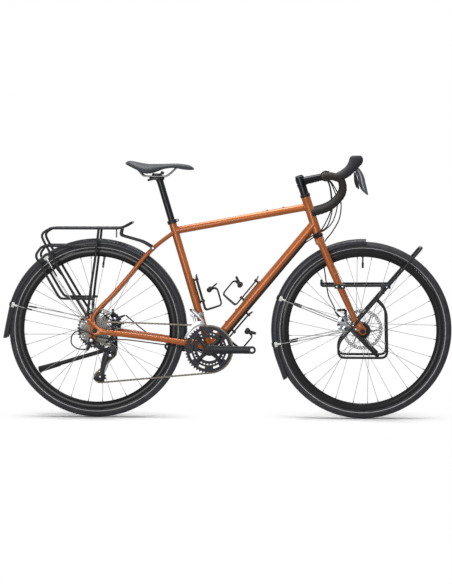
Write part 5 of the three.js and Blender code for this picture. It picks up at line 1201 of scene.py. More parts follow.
class BuildChain(bpy.types.Operator):
    """Chain of alternate wide and narrow links with their rollers"""
    bl_idname = "bicycle.build_chain"
    bl_label = "Chain"

    def execute(self, context):
        course = chain_course()
        loop = course + [course[0]]
        length = sum((there - here).length for here, there in zip(loop, loop[1:]))
        count = 2 * round(length / (PITCH * MM) / 2)
        joints = even(loop, length / MM / count)[:count]
        links, moves = [chain_link(reach) for reach in (2.6, 1.75)], [[], []]
        for i, (here, there) in enumerate(zip(joints, joints[1:] + joints[:1])):
            reach = there - here
            turn = Matrix.Rotation(-atan2(reach.z, reach.x), 4, "Y")
            moves[i % 2].append(Matrix.Translation((here + there) / 2) @ turn)
        for link, (first, *others) in zip(links, moves):
            link.data.transform(first)
            copies(link, [move @ first.inverted() for move in others])
        settled("linked_chain", "chain", coated("chain_steel", *links))
        return {"FINISHED"}


# Derailleurs

LINK_LEAN = radians(30)
LINK_FLAT = Vector((LOWER_PIN.x - UPPER_PIN.x, 0, LOWER_PIN.z - UPPER_PIN.z)).normalized()
LINK_AXIS = Vector((-LINK_FLAT.z, 0, LINK_FLAT.x)) * cos(LINK_LEAN) + ACROSS * sin(LINK_LEAN)
CAGE_ALONG = (TENSION - GUIDE).normalized()
CAGE_OUT = Vector((-CAGE_ALONG.z, 0, CAGE_ALONG.x))
FRONT_BAND, FRONT_PIVOT = off(BRACKET, SEAT_AXIS, 140), at(386, -29, 408)


def eased(places):
    """Places of an open outline with their corners taken off."""
    for _ in range(2):
        inner = [p for a, b in zip(places, places[1:]) for p in (a.lerp(b, 0.25), a.lerp(b, 0.75))]
        places = [places[0], *inner, places[-1]]
    return places


def cage_round(centre, radius, start):
    """Half of a circle round a pulley, from an angle across the cage."""
    turns = [radians(start + 15 * i) for i in range(13)]
    return [off(centre, CAGE_OUT, radius * cos(turn), CAGE_ALONG, radius * sin(turn)) for turn in turns]


def cage_plate(places, start, end):
    return plate([(place.x / MM, place.z / MM) for place in places], start, end)


def cage_side(plane, bulge):
    """A curved plate of the front cage, deeper near its middle by a bulge."""
    radius, first, sweep, steps, half = 99.5, 100, 56, 24, 0.6
    inside, outside = [], []
    for i in range(steps + 1):
        share = i / steps
        turn = radians(first + sweep * share)
        reach = radius + (12.4 + bulge * sin(pi * min(1, share * 1.5))) * (1 - 0.45 * share)
        inside.append((radius * cos(turn), radius * sin(turn)))
        outside.append((reach * cos(turn), reach * sin(turn)))
    return plate(inside + outside[::-1], plane - half, plane + half, BRACKET, 0.3)


class BuildDerailleurs(bpy.types.Operator):
    """Front and rear derailleurs with their cages and pulleys"""
    bl_idname = "bicycle.build_derailleurs"
    bl_label = "Derailleurs"

    def execute(self, context):
        self.barrel()
        self.link()
        self.knuckle()
        self.cage()
        for word, place in (("guide", GUIDE), ("tension", TENSION)):
            wheel = cut(toothed(PULLEY, -CHAIN_LINE, place), slots(place, 11, 5, 16, 2.6, -CHAIN_LINE),
                        pin(place, ACROSS, -60, -40, 3.6, 20))
            settled(f"{word}_jockey_wheel", f"{word}_pulley", coated("dark_plastic", wheel))
        self.front_band()
        self.front_cage()
        return {"FINISHED"}

    def barrel(self):
        """The part on the hanger, with its cable stop."""
        nose = at(-30, -84, 273)
        stop = [(at(-12, -84, 312), 6.4, 8), (at(-20, -84, 294), 6.2, 7.6), (CABLE_STOP, 6.2, 6.4),
                (nose, 4.4, 4.4)]
        body = joined(peg(-12, 312, -73.8, -91.8, 12, 40, edge=1.6), blade(stop))
        bolts = [peg(-12, 312, -91, -94, 6.5, edge=0.8), rod(nose, at(-35, -84, 264), 3.2, 20, edge=0.6)]
        settled("derailleur_barrel", "rear_derailleur_body",
                coated("satin_black", cut(body, pin(UPPER_PIN, LINK_AXIS, -14, 14, 7.6, 32))),
                coated("polished_alloy", *bolts))

    def link(self):
        """The arm between the two pins, with a bright edge and screws."""
        shares = ((0, 5.2, 5.2), (0.2, 8, 8.4), (0.32, 9, 9.6), (0.78, 9, 9.6), (0.88, 8, 8.4), (1, 5.2, 5.2))
        ends = (UPPER_PIN, LOWER_PIN)
        arm = blade([(UPPER_PIN.lerp(LOWER_PIN, share), thick, high) for share, thick, high in shares])
        eyes = [pin(place, LINK_AXIS, -7, 7, 7, 28, edge=0.8) for place in ends]
        trim = blade([(off(UPPER_PIN.lerp(LOWER_PIN, share), LINK_AXIS, 8.2, ACROSS, -3.4), 1.6, 2.2)
                      for share in (0.26, 0.5, 0.84)], 12, 3)
        screws = [pin(place, LINK_AXIS, -7.8, -6.4, 3.6, 20, edge=0.4) for place in ends]
        settled("derailleur_link", "rear_derailleur_link", coated("satin_black", arm, *eyes),
                coated("polished_alloy", trim, *screws))

    def knuckle(self):
        """The part that the cage swings on."""
        body = cut(pin(CAGE_PIVOT, ACROSS, -84, -53.9, 11.4, 40, edge=1.6),
                   pin(LOWER_PIN, LINK_AXIS, -14, 14, 7.6, 32))
        settled("derailleur_knuckle", "rear_derailleur_knuckle", coated("satin_black", body),
                coated("polished_alloy", pin(CAGE_PIVOT, ACROSS, -85.4, -83, 6, edge=0.8)))

    def cage(self):
        """The outer plate, the waisted inner plate and the pulleys' pins."""
        wing = ((0.8, -2.2), (2.2, 0), (1.9, 1.5), (-0.5, 2.1), (-2.8, 1.9), (-1.1, -1.1), (-0.8, -2.4))
        head = ((20, 205), (25, 238), (34, 262), (48, 276), (60, 287), (76, 286), (84, 272), (82, 250),
                (66, 237), (46, 226), (38, 200))
        end_radius = 9.8
        places = eased([off(TENSION, CAGE_OUT, x * end_radius, CAGE_ALONG, z * end_radius) for x, z in wing])
        outer = cage_plate(places + eased([at(x, 0, z) for x, z in head]), -53.6, -52.1)
        waist_place = GUIDE.lerp(TENSION, 0.42)
        waist = [pin(off(waist_place, CAGE_OUT, way * 33), ACROSS, -60, -30, 22.5, 48) for way in (-1, 1)]
        inner = cage_plate(cage_round(TENSION, end_radius, 0) + cage_round(GUIDE, 15.8, 180), -44.9, -43.4)
        pins = [pin(place, ACROSS, -54.6, -42.8, 3.4, 20, edge=0.4) for place in (GUIDE, TENSION)]
        settled("derailleur_cage", "rear_derailleur_cage", coated("satin_black", rounded(outer, 0.4)),
                coated("polished_alloy", rounded(cut(inner, *waist), 0.4), *pins))

    def front_band(self):
        """The clamp on the seat tube, with its screw and the neck to the pivot."""
        ring = [(15.9, -6), (18.2, -6), (18.8, -5), (18.8, 5), (18.2, 6), (15.9, 6)]
        back = off(FRONT_BAND, SEAT_OUT, -20)
        body = joined(turned(ring, FRONT_BAND, SEAT_AXIS, 48),
                      pin(FRONT_PIVOT, FORWARD, -12, 12, 5, 28, edge=0.8),
                      blade([(off(FRONT_BAND, ACROSS, -16), 6, 6),
                             (off(FRONT_PIVOT, ACROSS, 3), 5, 4.6)], 16),
                      pin(back, ACROSS, 12, -4, 3.2, 20, edge=0.6),
                      block(off(back, ACROSS, 4), 9, 8, 10, 90 - SEAT_ANGLE, 1.2))
        settled("front_derailleur_band", "front_derailleur_body",
                coated("polished_alloy", cut(body, pin(BRACKET, SEAT_AXIS, 120, 160, 15.8, 48))))

    def front_cage(self):
        """The two curved plates, their spacers, the arm and the cable's link."""
        plates = [cage_side(-53.1, 10), cage_side(-43.9, 0)]
        plates += [stub(BRACKET, reach, angle, -53.4, -43.6, 1.8, 16)
                   for reach, angle in ((110, 101.6), (103, 154.6))]
        foot, head = around(BRACKET, 108, 118.7, -42.5), off(FRONT_PIVOT, ACROSS, -5)
        arm = cut(blade([(foot, 2, 5.5), (foot.lerp(head, 0.5), 2.6, 4.6), (head, 2, 5.8)], 16),
                  pin(FRONT_PIVOT, FORWARD, -24, 24, 5.6, 28))
        link = blade([(at(376, -43, 430), 3, 6), (at(386, -42, 424), 3.4, 7.5), (at(408, -43.5, 404), 3, 7),
                      (at(424, -44, 384), 2.4, 6.5)], 18)
        settled("front_derailleur_plates", "front_derailleur_cage",
                coated("polished_alloy", *plates, arm, link),
                coated("dark_plastic", peg(376, 430, -47.4, -39, 4.4, 20, edge=0.6)))


# Mudguards

GUARDS = {
    "front": {"centre": FRONT, "start": 88, "end": 200, "flap": 212.5, "lift": 9, "seats": (115.6,),
              "clips": (158.8, 189.4), "foot": (1024, 57.3, 357)},
    "rear": {"centre": REAR, "start": -14, "end": 168, "flap": 185.5, "lift": 16, "seats": (-9.7, 55.3),
             "clips": (124.8, 163.7), "foot": (-32, 75.8, 384)},
}


def guard_section(centre, angle, lift=0.0, wall=1.8, widen=0.0):
    """The outline of a mudguard at one angle: an arch, and the same arch a wall inside it."""
    edge_radius, height, half_width, steps = 340, 20, 23, 8
    layers = []
    for depth in (0, wall):
        layer = []
        for i in range(-steps, steps + 1):
            turn = pi / 2 * i / steps
            rise = max(cos(turn), 0) ** 0.7
            layer.append(around(centre, edge_radius + rise * (height - depth) + lift, angle,
                                (half_width + widen - depth) * sin(turn)))
        layers.append(layer)
    return outline(layers[0] + layers[1][::-1])


class BuildMudguards(bpy.types.Operator):
    """Arched shells with a flap each, seats, stays and clips"""
    bl_idname = "bicycle.build_mudguards"
    bl_label = "Mudguards"

    def execute(self, context):
        for word, guard in GUARDS.items():
            self.shell(word, guard)
            self.stays(word, guard)
        return {"FINISHED"}

    def shell(self, word, guard):
        """The arch, its flap that lifts off the wheel, and the seats that hold it."""
        centre, start, end = guard["centre"], guard["start"], guard["end"]
        steps, flap_steps = round((end - start) / 2), 6
        rings = [guard_section(centre, start + (end - start) * i / steps) for i in range(steps + 1)]
        for i in range(1, flap_steps + 1):
            share = i / flap_steps
            rings.append(guard_section(centre, end + (guard["flap"] - end) * share,
                                       guard["lift"] * share ** 2))
        pieces = [bridged(rings)]
        for angle in guard["seats"]:
            pieces.append(block(around(centre, 364.8, angle), 13.8, 14, 12, angle, 1.2))
            pieces.append(rod(around(centre, 354, angle), around(centre, 357.4, angle), 5, 20, edge=0.6))
        settled(f"{word}_guard_shell", f"{word}_mudguard", coated("guard_plastic", *pieces), angle=50)

    def stays(self, word, guard):
        """Bent wires from the clips on the shell to one eye on each side."""
        centre, (x, y, z) = guard["centre"], guard["foot"]
        bands = [bridged([guard_section(centre, angle + turn, 2.3, 2.0, 2.3) for turn in (-1.1, 1.1)])
                 for angle in guard["clips"]]
        wires, clips, sleeves, bolts = [], [], [], []
        for side in SIDES:
            foot = at(x, side * y, z)
            for angle in guard["clips"]:
                first = around(centre, 345, angle, side * 25)
                bend = first.lerp(foot, 0.42)
                bend.y = side * (y + 6) * MM
                along = (bend - first).normalized()
                wires.append(pipe(bent([first, bend, foot], 60), 2, 12))
                clips.append(block(off(first, along, 1), 20, 6, 12, angle + 90, 2))
                clips.append(pin(first, along, 2, 22, 3.6, 16, edge=0.6))
                sleeves.append(pin(first, along, 60, 92, 3.3, 16, edge=0.6))
            wires.append(pin(foot, ACROSS, -2, 2, 5, edge=0.4))
            bolts.append(pin(foot, ACROSS, side * 1.6, side * 4.4, 3.6, 16, edge=0.5))
        settled(f"{word}_guard_stays", f"{word}_mudguard_stays", coated("stay_steel", *wires),
                coated("dark_plastic", *bands, *sleeves), coated("clip_plastic", *clips),
                coated("polished_alloy", *bolts))


# Racks

RACK_TUBE = 5
LOW_RACK_SPREAD = 75


def rack_place(side, x, z, y=1.0):
    """A place on the rear rack, in shares of its length, height and half-width above its foot."""
    return at(-28 + x * 300, side * y * 52, 404 + z * 346)


def low_place(side, x, z):
    """A place on the front rack, in shares of the fork's length from the front axle."""
    return off(FRONT, FORWARD, x * FORK_LENGTH, UP, z * FORK_LENGTH, side * LOW_RACK_SPREAD)


def rack_tube(places, bend, radius=RACK_TUBE):
    return pipe(bent(places, bend), radius, 16)


class BuildRacks(bpy.types.Operator):
    """Rear rack with its deck, and the low rack on the fork"""
    bl_idname = "bicycle.build_racks"
    bl_label = "Racks"

    def execute(self, context):
        self.rear()
        self.front()
        return {"FINISHED"}

    def rear(self):
        """Rails, legs and cross bars of the rear rack, its deck and the lamp plate."""
        rail = [(0.57, 1.066, 0.75), (0.437, 1, 1), (-0.5, 1, 1), (-0.62, 0.93, 1.02), (-0.56, 0.82, 1.06),
                (-0.402, 0.583, 1.2), (-0.155, 0.211, 1.38), (0, 0, 1.53)]
        leg = [(0.143, 0.995, 1), (0.098, 0.661, 1.12), (0.039, 0.301, 1.32), (0, 0, 1.53)]
        pannier = [(0.125, 0.802, 1.12), (-0.6, 0.8, 1.18), (-0.69, 0.69, 1.2), (-0.412, 0.268, 1.26),
                   (-0.36, 0.203, 1.28), (0.08, 0.201, 1.38)]
        strut = [(0.437, 0.995, 0.62), (0.415, 0.92, 0.62), (0.554, 0.886, 0.66), (0.71, 0.847, 0.72),
                 (0.853, 0.773, 0.8)]
        tubes, bolts = [], []
        for side in SIDES:
            for shares, bend, radius in ((rail, 28, RACK_TUBE), (leg, 28, RACK_TUBE),
                                         (pannier, 16, RACK_TUBE), (strut, 12, 4)):
                tubes.append(rack_tube([rack_place(side, *share) for share in shares], bend, radius))
            foot, top = at(-28, side * 77.3, 404), rack_place(side, *strut[-1])
            tubes += [pin(foot, ACROSS, -3.5, 3.5, 8, 28, edge=0.8),
                      pin(top, ACROSS, -3.4, 3.4, 6.4, edge=0.6)]
            bolts += [pin(foot, ACROSS, side * 3, side * 6.4, 4.2, 6, edge=0.5),
                      pin(top, ACROSS, side * 3, side * 6, 4.4, 16, edge=0.5)]
        for bar in (rail[0], *((x, 1, 1) for x in (0.437, 0.1, -0.23, -0.5))):
            tubes.append(rod(*[rack_place(side, *bar) for side in SIDES], 4, 20))
        holes = [rod(at(x, 0, 745), at(x, 0, 765), 9, 28) for x in (-120, -86, -52, 12, 46, 80)]
        deck = cut(block(at(-20, 0, 754), 270, 44, 3, edge=1), *holes)
        lamp = [block(at(80, 0, 730), 3, 34, 36, edge=1), block(at(86, 0, 746.5), 15, 34, 3, edge=1)]
        settled("rear_carrier", "rear_rack", coated("satin_black", *tubes, deck, *lamp),
                coated("polished_alloy", *bolts))

    def front(self):
        """The hoop over the wheel, with rails, struts and clamps on both blades."""
        loop = [(0.564, 0.811), (-0.109, 0.032), (-0.235, -0.11), (-0.235, -0.252), (0.237, -0.252),
                (0.227, 0.21), (0.132, 0.31)]
        rail = ((-0.403, 0.484), (-0.4, 0.444), (0.25, 0.448))
        corners = [low_place(RIGHT, *share) for share in reversed(loop)]
        corners += [low_place(LEFT, *share) for share in loop]
        tubes, bolts = [rack_tube(corners, 26)], []
        for side in SIDES:
            lower, upper = low_place(side, -0.115, 0.02), low_place(side, 0.151, -0.242)
            lean = degrees(atan2(upper.z - lower.z, upper.x - lower.x))
            tubes += [block(lower.lerp(upper, 0.5), (upper - lower).length / MM, 5, 14, lean, 1.5),
                      block(at(1128, side * LOW_RACK_SPREAD, 514), 12, 9, 34, 0, 1.5),
                      block(at(1140, side * LOW_RACK_SPREAD, 524), 34, 10.4, 13, 0, 1.5),
                      rack_tube([low_place(side, *share) for share in rail], 10),
                      block(at(1014, side * 65.15, 373), 11, 19.7, 11, edge=1.2),
                      block(at(960, side * 66.15, 525), 42, 17.7, 16, edge=2)]
            bolts.append(peg(1143, 524, side * LOW_RACK_SPREAD, side * 81.6, 3.6, 6, edge=0.5))
            bolts += [peg(x, z, side * 74, side * 79.6, 4.4, 6, edge=0.5)
                      for x, z in ((1014, 373), (949, 525), (971, 525))]
        settled("front_carrier", "front_rack", coated("satin_black", *tubes),
                coated("polished_alloy", *bolts))


# Bottle cages

CAGE_LONG, CAGE_HIGH, CAGE_HALF = 141, 79, 38
CAGES = (("seat_tube", SEAT_AXIS, SEAT_OUT, 157, SEAT_TUBE),
         ("down_tube", DOWN_AXIS, DOWN_OUT, 204, DOWN_TUBE),
         ("under", DOWN_AXIS, -DOWN_OUT, 82, DOWN_TUBE))


class BuildCages(bpy.types.Operator):
    """Wire bottle cages on their straps"""
    bl_idname = "bicycle.build_cages"
    bl_label = "Bottle cages"

    def execute(self, context):
        for word, along, out, foot, surface in CAGES:
            self.cage(word, along, out, off(BRACKET, along, foot, out, surface))
        return {"FINISHED"}

    def cage(self, word, along, out, origin):
        """One cage, in shares of its length, height and half-width from its place on the tube."""
        wire = [(0.97, 0.22, 0), (0.96, 0.21, 0.3), (0.86, 0.16, 0.62), (0, 0.15, 0.62), (-0.05, 0.2, 0.6),
                (-0.05, 0.6, 0.5), (-0.04, 0.95, 0.36), (0.02, 1.01, 0.28), (0.41, 1.02, 0.28),
                (0.47, 0.93, 0.55), (0.47, 0.64, 0.95)]
        strap_high, lean = 1.8 / CAGE_HIGH, degrees(atan2(along.z, along.x))

        def place(a, b, y=0.0, side=LEFT):
            return off(origin, along, a * CAGE_LONG, out, b * CAGE_HIGH, side * y * CAGE_HALF)

        wires = [pipe(bent([place(*share, side) for share in wire], 9), 3, 12) for side in SIDES]
        wires += [rod(place(*wire[-1], side), place(0.57, 1.05, 0.7, side), 3, 16) for side in SIDES]
        strap = [block(place(0.53, strap_high), 104, 12, 3, lean, 1)]
        knobs = [ball(place(*wire[-1], side), 9, (1.1, 0.8, 1.1)) for side in SIDES]
        for bolt in (0.217, 0.843):
            strap.append(rod(place(bolt, 0.17, 0.62, RIGHT), place(bolt, 0.17, 0.62, LEFT), 3, 16))
            strap.append(rod(place(bolt, strap_high), place(bolt, 0.19), 4, 20))
            knobs.append(rod(place(bolt, 0.18), place(bolt, 0.25), 5.4, edge=1))
        settled(f"{word}_cage", f"bottle_cage_{word}", coated("satin_black", *wires, *strap),
                coated("dark_plastic", *knobs))


# Brakes

CALIPERS = {
    "front": {"centre": FRONT, "sides": (27, 51), "disc": 35.8, "finish": "polished_alloy",
              "root": (977.5, 372), "arm": (-36, 48),
              "lobes": ((973, 384, 19), (985, 352, 15), (963, 357, 10), (991, 372, 8)),
              "caps": ((985, 352, 8), (973, 386, 7)), "bolt": (1006, 379, 6.5),
              "rods": ((951, 367, 966, 367, 5.5), (950, 424, 983, 427, 5), (983, 427, 985, 396, 5.5))},
    "rear": {"centre": REAR, "sides": (41, 65), "disc": 51.2, "finish": "satin_black",
             "root": (73, 386), "arm": (34, 14),
             "lobes": ((69, 372, 18), (83, 360, 9), (60, 401, 11), (80, 388, 9)),
             "caps": ((69, 362, 9), (58, 403, 6)), "bolt": (66, 386, 7.5),
             "rods": ((80, 369, 103, 369, 5.2), (58, 398, 58, 425, 5), (66, 386, 92, 384, 4))},
}


class BuildBrakes(bpy.types.Operator):
    """Calipers astride the discs, with their arms"""
    bl_idname = "bicycle.build_brakes"
    bl_label = "Brakes"

    def execute(self, context):
        for word, made in CALIPERS.items():
            self.caliper(word, made)
            self.arm(word, *made["root"], made["sides"][1], *made["arm"])
        return {"FINISHED"}

    def caliper(self, word, made):
        """The body with room for the disc, its hexagon caps, stops and mounting bolt."""
        (start, end), (x, z), disc = made["sides"], made["root"], made["disc"]
        centre_plane = (start + end) / 2
        lobes = [peg(a, b, start, end, radius, 36, edge=2.4) for a, b, radius in made["lobes"]]
        lobes.append(block(at(x - 2, centre_plane, z - 4), 26, end - start - 5, 44, 20, edge=3))
        groove = pin(made["centre"], ACROSS, disc - 0.9, disc + 2.7, 82, 96)
        window = block(at(x, disc + 0.9, z + 14), 16, 9, 60, edge=0)
        caps = [peg(a, b, face, face + 3.5, radius, 6, edge=0.5)
                for a, b, radius in made["caps"] for face in (start - 1.6, end - 1.9)]
        rods = [rod(at(a, centre_plane, b), at(c, centre_plane, d), radius, edge=1)
                for a, b, c, d, radius in made["rods"]]
        a, b, radius = made["bolt"]
        bolt = peg(a, b, start - 1.8, start + 8, radius, 28, edge=1)
        settled(f"{word}_caliper_body", f"{word}_brake_caliper",
                coated(made["finish"], cut(joined(*lobes), groove, window)),
                coated("dark_plastic", *caps, *rods), coated("polished_alloy", bolt))

    def arm(self, word, x, z, face, reach, rise):
        """The arm that the cable pulls, turned on its hub."""
        root = at(x, face + 2.8, z)
        tip = off(root, FORWARD, reach, UP, rise)
        hub = turned([(0, 0), (8.2, 0), (9, 0.8), (9, 4.2), (8.2, 5), (0, 5)], at(x, face + 0.3, z), steps=40)
        lever = blade([(root, 2.4, 5.4), (root.lerp(tip, 0.5), 2.3, 4.6), (tip, 2.3, 3)], 16)
        settled(f"{word}_caliper_arm", f"{word}_brake_arm", coated("satin_black", hub, lever),
                coated("polished_alloy", pin(tip, ACROSS, -2.3, 2.4, 3.2, 20, edge=0.5)))


# Cables

CABLE_DROP, SHELL_DROP = 22, 26.5


def spots(*rows):
    return [at(*row) for row in rows]


def under_tube(y, *places):
    """Places under the down tube for a cable that lies y to the left."""
    return [off(BRACKET, DOWN_AXIS, place, -DOWN_OUT, sqrt(CABLE_DROP ** 2 - y ** 2), y) for place in places]


def under_shell(*rows):
    return [around(BRACKET, SHELL_DROP, angle, y) for angle, y in rows]


class BuildCables(bpy.types.Operator):
    """Brake and gear cables from the bar to what they pull"""
    bl_idname = "bicycle.build_cables"
    bl_label = "Cables"

    def execute(self, context):
        self.front_brake()
        self.rear_brake()
        self.gears()
        return {"FINISHED"}

    def front_brake(self):
        """From the right lever round the head to the front caliper."""
        tip, pull = at(941.5, 53.8, 420), Vector((-24, 0, 125)).normalized()
        course = spots((912, -66, 940), (930, -60, 925), (962, -40, 860), (958, -5, 790), (930, 40, 735),
                       (898, 62, 690), (893, 64, 640), (902, 62, 570), (914, 60, 490), (926, 58, 460))
        course += [off(tip, pull, 16), off(tip, pull, 1.5)]
        settled("front_brake_line", "front_brake_cable", self.line(course), angle=60)

    def rear_brake(self):
        """From the left lever under the down tube and the bracket to the rear caliper."""
        tip, pull = at(107, 67.8, 400), Vector((88, 0, -74)).normalized()
        course = spots((912, 66, 940), (930, 60, 915), (950, 45, 850), (934, 30, 780), (900, 28, 742),
                       (862, 26, 727))
        course += under_tube(14.5, 570, 540, 130, 100) + under_shell((-35, 15), (-65, 16), (-100, 18))
        course += spots((415, 24, 260), (395, 27, 270), (345, 34, 281), (272, 45, 293), (215, 60, 316),
                        (175, 66, 343), (140, 68, 372))
        course += [off(tip, pull, 16), off(tip, pull, 2.7)]
        self.stretched("rear_brake_line", "rear_brake_cable", self.line(course))

    def gears(self):
        """One line to the rear derailleur and one to the front, in clips under the down tube."""
        rear = spots((912, 54, 936), (924, 46, 900), (930, 26, 830), (918, 0, 775), (900, -26, 748),
                     (866, -29, 730))
        rear += under_tube(-16, 570, 540, 130, 100) + under_shell((-35, -16), (-65, -17), (-100, -19))
        rear += spots((415, -24, 260), (395, -27, 270), (345, -34, 281), (272, -43, 292), (136, -56, 311),
                      (60, -64, 316), (0, -84, 330), (-50, -86, 352), (-85, -86, 335), (-90, -86, 300),
                      (-66, -86, 279), (-34, -84, 276))
        front = spots((912, -54, 936), (922, -46, 900), (926, -34, 830), (905, -32, 775), (880, -31, 735),
                      (852, -22, 712))
        front += under_tube(-9.5, 560, 530, 130, 100)
        front += under_shell(*((angle, -9.5) for angle in (-35, -65, -100, -125)))
        lean = degrees(atan2(DOWN_AXIS.z, DOWN_AXIS.x))
        clips = [block(off(place, DOWN_OUT, 2), 9, 13, 5, lean, 1.2)
                 for place in under_tube(-12.75, 480, 300)]
        self.stretched("gear_lines", "shift_cables", self.line(rear), self.line(front),
                       coated("dark_plastic", *clips))

    def line(self, places):
        """A housing along a course, with a ferrule at each end."""
        course = [Vector(row) for row in flowing([tuple(place) for place in places], 6)]
        caps = [pin(here, (there - here).normalized(), 0, 9, 3, 16, edge=0.4)
                for here, there in ((course[0], course[2]), (course[-1], course[-3]))]
        return joined(coated("cable_housing", pipe(course, 2.5, 12)), coated("dark_plastic", *caps))

    def stretched(self, name, node, *pieces):
        """Joins finished lines, hides the solid that they stand for and bakes their place into their mesh."""
        piece = named(name, *pieces, angle=60)
        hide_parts(node)
        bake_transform(piece)


# Stand

class BuildStand(bpy.types.Operator):
    """Folding leg on its slanted hinge"""
    bl_idname = "bicycle.build_stand"
    bl_label = "Kickstand"

    def execute(self, context):
        pivot = at(60, 84.1964, 268.259)
        axis = Vector((0, 0.939693, 0.34202))
        foot = pivot + Vector((-306, 12, -92)) * MM
        along = (foot - pivot).normalized()
        leg = [pin(pivot, axis, -8, 8, 10, 36, edge=1), rod(pivot, off(foot, along, -8), 8.4, 28),
               pin(pivot, along, 22, 26, 9, 28, edge=0.6)]
        boot = rod(pivot.lerp(foot, 0.72), foot, 10.5, 32, end_radius=13, edge=1.6)
        screw = pin(pivot, axis, 7, 9.6, 5, edge=0.6)
        settled("folding_leg", "kickstand_leg", coated("satin_black", *leg), coated("hood_rubber", boot),
                coated("polished_alloy", screw))
        return {"FINISHED"}


# Studio

FLOOR_SIZE, FLOOR_DROP = 14, 0.0005
FADE_START, FADE_END = 0.1, 0.42
LAMPS = (("main_lamp", (-0.1, -0.15, 2.9), (2.4, 0.9), 1),
         ("side_lamp", (-1.0, -4.0, 1.0), (1.8, 1.8), 0.65),
         ("far_lamp", (1.0, 3.6, 0.9), (2.0, 2.0), 0.2))
LAMP_TARGET, SKY_LIGHT = Vector((0, 0, 0.5)), 0.12
EYE, AIM, LENS, SENSOR = Vector((0.4, -7.6, 1.0)), Vector((0, 0, 0.498)), 154, 36


def grey(value):
    return value, value, value, 1


def seen_ray(tree):
    """One where a ray comes from the camera or a mirror-like surface, so that the backdrop is plain white."""
    path = added(tree, "ShaderNodeLightPath").outputs
    return sums(tree, "MAXIMUM", path["Is Camera Ray"],
                sums(tree, "MAXIMUM", path["Is Glossy Ray"], path["Is Transmission Ray"]))


def paper_finish():
    """Pale paper under the wheels that fades to plain white away from each of them."""
    material = bpy.data.materials.new("studio_paper")
    material.use_nodes = True
    tree = material.node_tree
    shader = tree.nodes["Principled BSDF"]
    place = added(tree, "ShaderNodeTexCoord").outputs["Object"]
    shade = blended(tree, noise(tree, place, 30.0), grey(0.93), grey(0.95))
    bounce = added(tree, "ShaderNodeLightPath").outputs["Is Diffuse Ray"]
    tree.links.new(blended(tree, bounce, shade, grey(0.42)), shader.inputs["Base Color"])
    shader.inputs["Roughness"].default_value = 0.9
    shader.inputs["Specular IOR Level"].default_value = 0.0
    both = added(tree, "ShaderNodeVectorMath", {0: place}, operation="ABSOLUTE").outputs["Vector"]
    oval = added(tree, "ShaderNodeMapping", {"Vector": both, "Location": (REAR.x, 0.0, 0.0),
                                             "Scale": (1.0, 0.7, 1.0)}).outputs[0]
    away = added(tree, "ShaderNodeVectorMath", {0: oval}, operation="LENGTH").outputs["Value"]
    fade = sums(tree, "MULTIPLY", seen_ray(tree), ranged(tree, away, FADE_START, FADE_END))
    white = added(tree, "ShaderNodeEmission", {"Color": grey(1), "Strength": 1.0})
    mix = added(tree, "ShaderNodeMixShader", {0: fade, 1: shader.outputs[0], 2: white.outputs[0]})
    tree.links.new(mix.outputs[0], tree.nodes["Material Output"].inputs["Surface"])
    return material


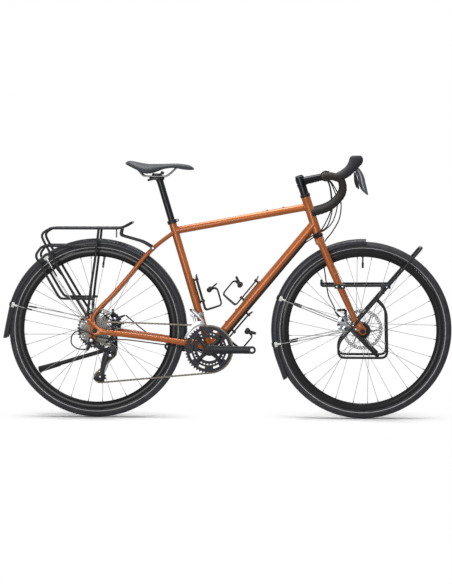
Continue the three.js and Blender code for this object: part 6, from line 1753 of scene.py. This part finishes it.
class BuildStage(bpy.types.Operator):
    """Pale floor and backdrop, soft lamps and the camera"""
    bl_idname = "bicycle.build_stage"
    bl_label = "Studio"

    def execute(self, context):
        self.floor()
        self.lamps()
        self.sky(context.scene)
        self.camera(context.scene)
        context.scene.view_settings.view_transform = "Standard"
        return {"FINISHED"}

    def floor(self):
        """A subdivided plane a little under the wheels."""
        material = paper_finish()
        bpy.ops.object.select_all(action="DESELECT")
        bpy.ops.mesh.primitive_plane_add(size=1)
        floor = bpy.context.object
        floor.name = floor.data.name = "studio_floor"
        in_edit_mode(floor, (bpy.ops.mesh.subdivide, {"number_cuts": 3}))
        floor.data.transform(Matrix.Translation((0, 0, -FLOOR_DROP))
                             @ Matrix.Diagonal((FLOOR_SIZE, FLOOR_SIZE, 1, 1)))
        floor.data.materials.append(material)

    def lamps(self):
        """Three area lamps that face the bicycle."""
        for name, spot, size, share in LAMPS:
            bpy.ops.object.light_add(type="AREA", location=spot)
            lamp = bpy.context.object
            lamp.name, lamp.data.shape = name, "RECTANGLE"
            lamp.data.energy = sizes().lamp_power * share
            lamp.data.size, lamp.data.size_y = size
            lamp.rotation_euler = (LAMP_TARGET - Vector(spot)).to_track_quat("-Z", "Y").to_euler()

    def sky(self, scene):
        """A dim sky for the bicycle, and plain white behind it."""
        scene.world = bpy.data.worlds.new("studio_sky")
        scene.world.use_nodes = True
        tree = scene.world.node_tree
        lit = tree.nodes["Background"]
        lit.inputs["Color"].default_value = grey(1)
        lit.inputs["Strength"].default_value = SKY_LIGHT
        white = added(tree, "ShaderNodeBackground", {"Color": grey(1), "Strength": 1.0})
        mix = added(tree, "ShaderNodeMixShader", {0: seen_ray(tree), 1: lit.outputs[0], 2: white.outputs[0]})
        tree.links.new(mix.outputs[0], tree.nodes["World Output"].inputs["Surface"])

    def camera(self, scene):
        bpy.ops.object.camera_add(location=EYE)
        scene.camera = bpy.context.object
        scene.camera.name = "studio_camera"
        lens = scene.camera.data
        lens.sensor_width, lens.sensor_fit, lens.lens = SENSOR, "HORIZONTAL", LENS
        scene.camera.rotation_euler = (AIM - EYE).to_track_quat("-Z", "Y").to_euler()


BUILDERS = (BuildFrame, BuildFork, BuildCockpit, BuildLevers, BuildSaddle, BuildWheels, BuildDrive,
            BuildChain, BuildDerailleurs, BuildMudguards, BuildRacks, BuildCages, BuildBrakes, BuildCables,
            BuildStand, BuildStage)


class BicyclePanel(bpy.types.Panel):
    """Lists the pieces of the bicycle with their sizes and finishes"""
    bl_idname = "VIEW3D_PT_bicycle"
    bl_label = "Touring bicycle"
    bl_space_type = "VIEW_3D"
    bl_region_type = "UI"
    bl_category = "Bicycle"

    def draw(self, context):
        for group in (finishes(), sizes()):
            box = self.layout.box()
            for name in group.__annotations__:
                box.prop(group, name)
        for builder in BUILDERS:
            self.layout.operator(builder.bl_idname)


CLASSES = (FinishSettings, SizeSettings, *BUILDERS, BicyclePanel)


def register():
    for kind in CLASSES:
        bpy.utils.register_class(kind)
    bpy.types.Scene.bicycle_finishes = PointerProperty(type=FinishSettings)
    bpy.types.Scene.bicycle_sizes = PointerProperty(type=SizeSettings)


def unregister():
    del bpy.types.Scene.bicycle_sizes, bpy.types.Scene.bicycle_finishes
    for kind in reversed(CLASSES):
        bpy.utils.unregister_class(kind)


def main():
    register()
    for builder in BUILDERS:
        group, name = builder.bl_idname.split(".")
        getattr(getattr(bpy.ops, group), name)()


if __name__ == "__main__":
    main()
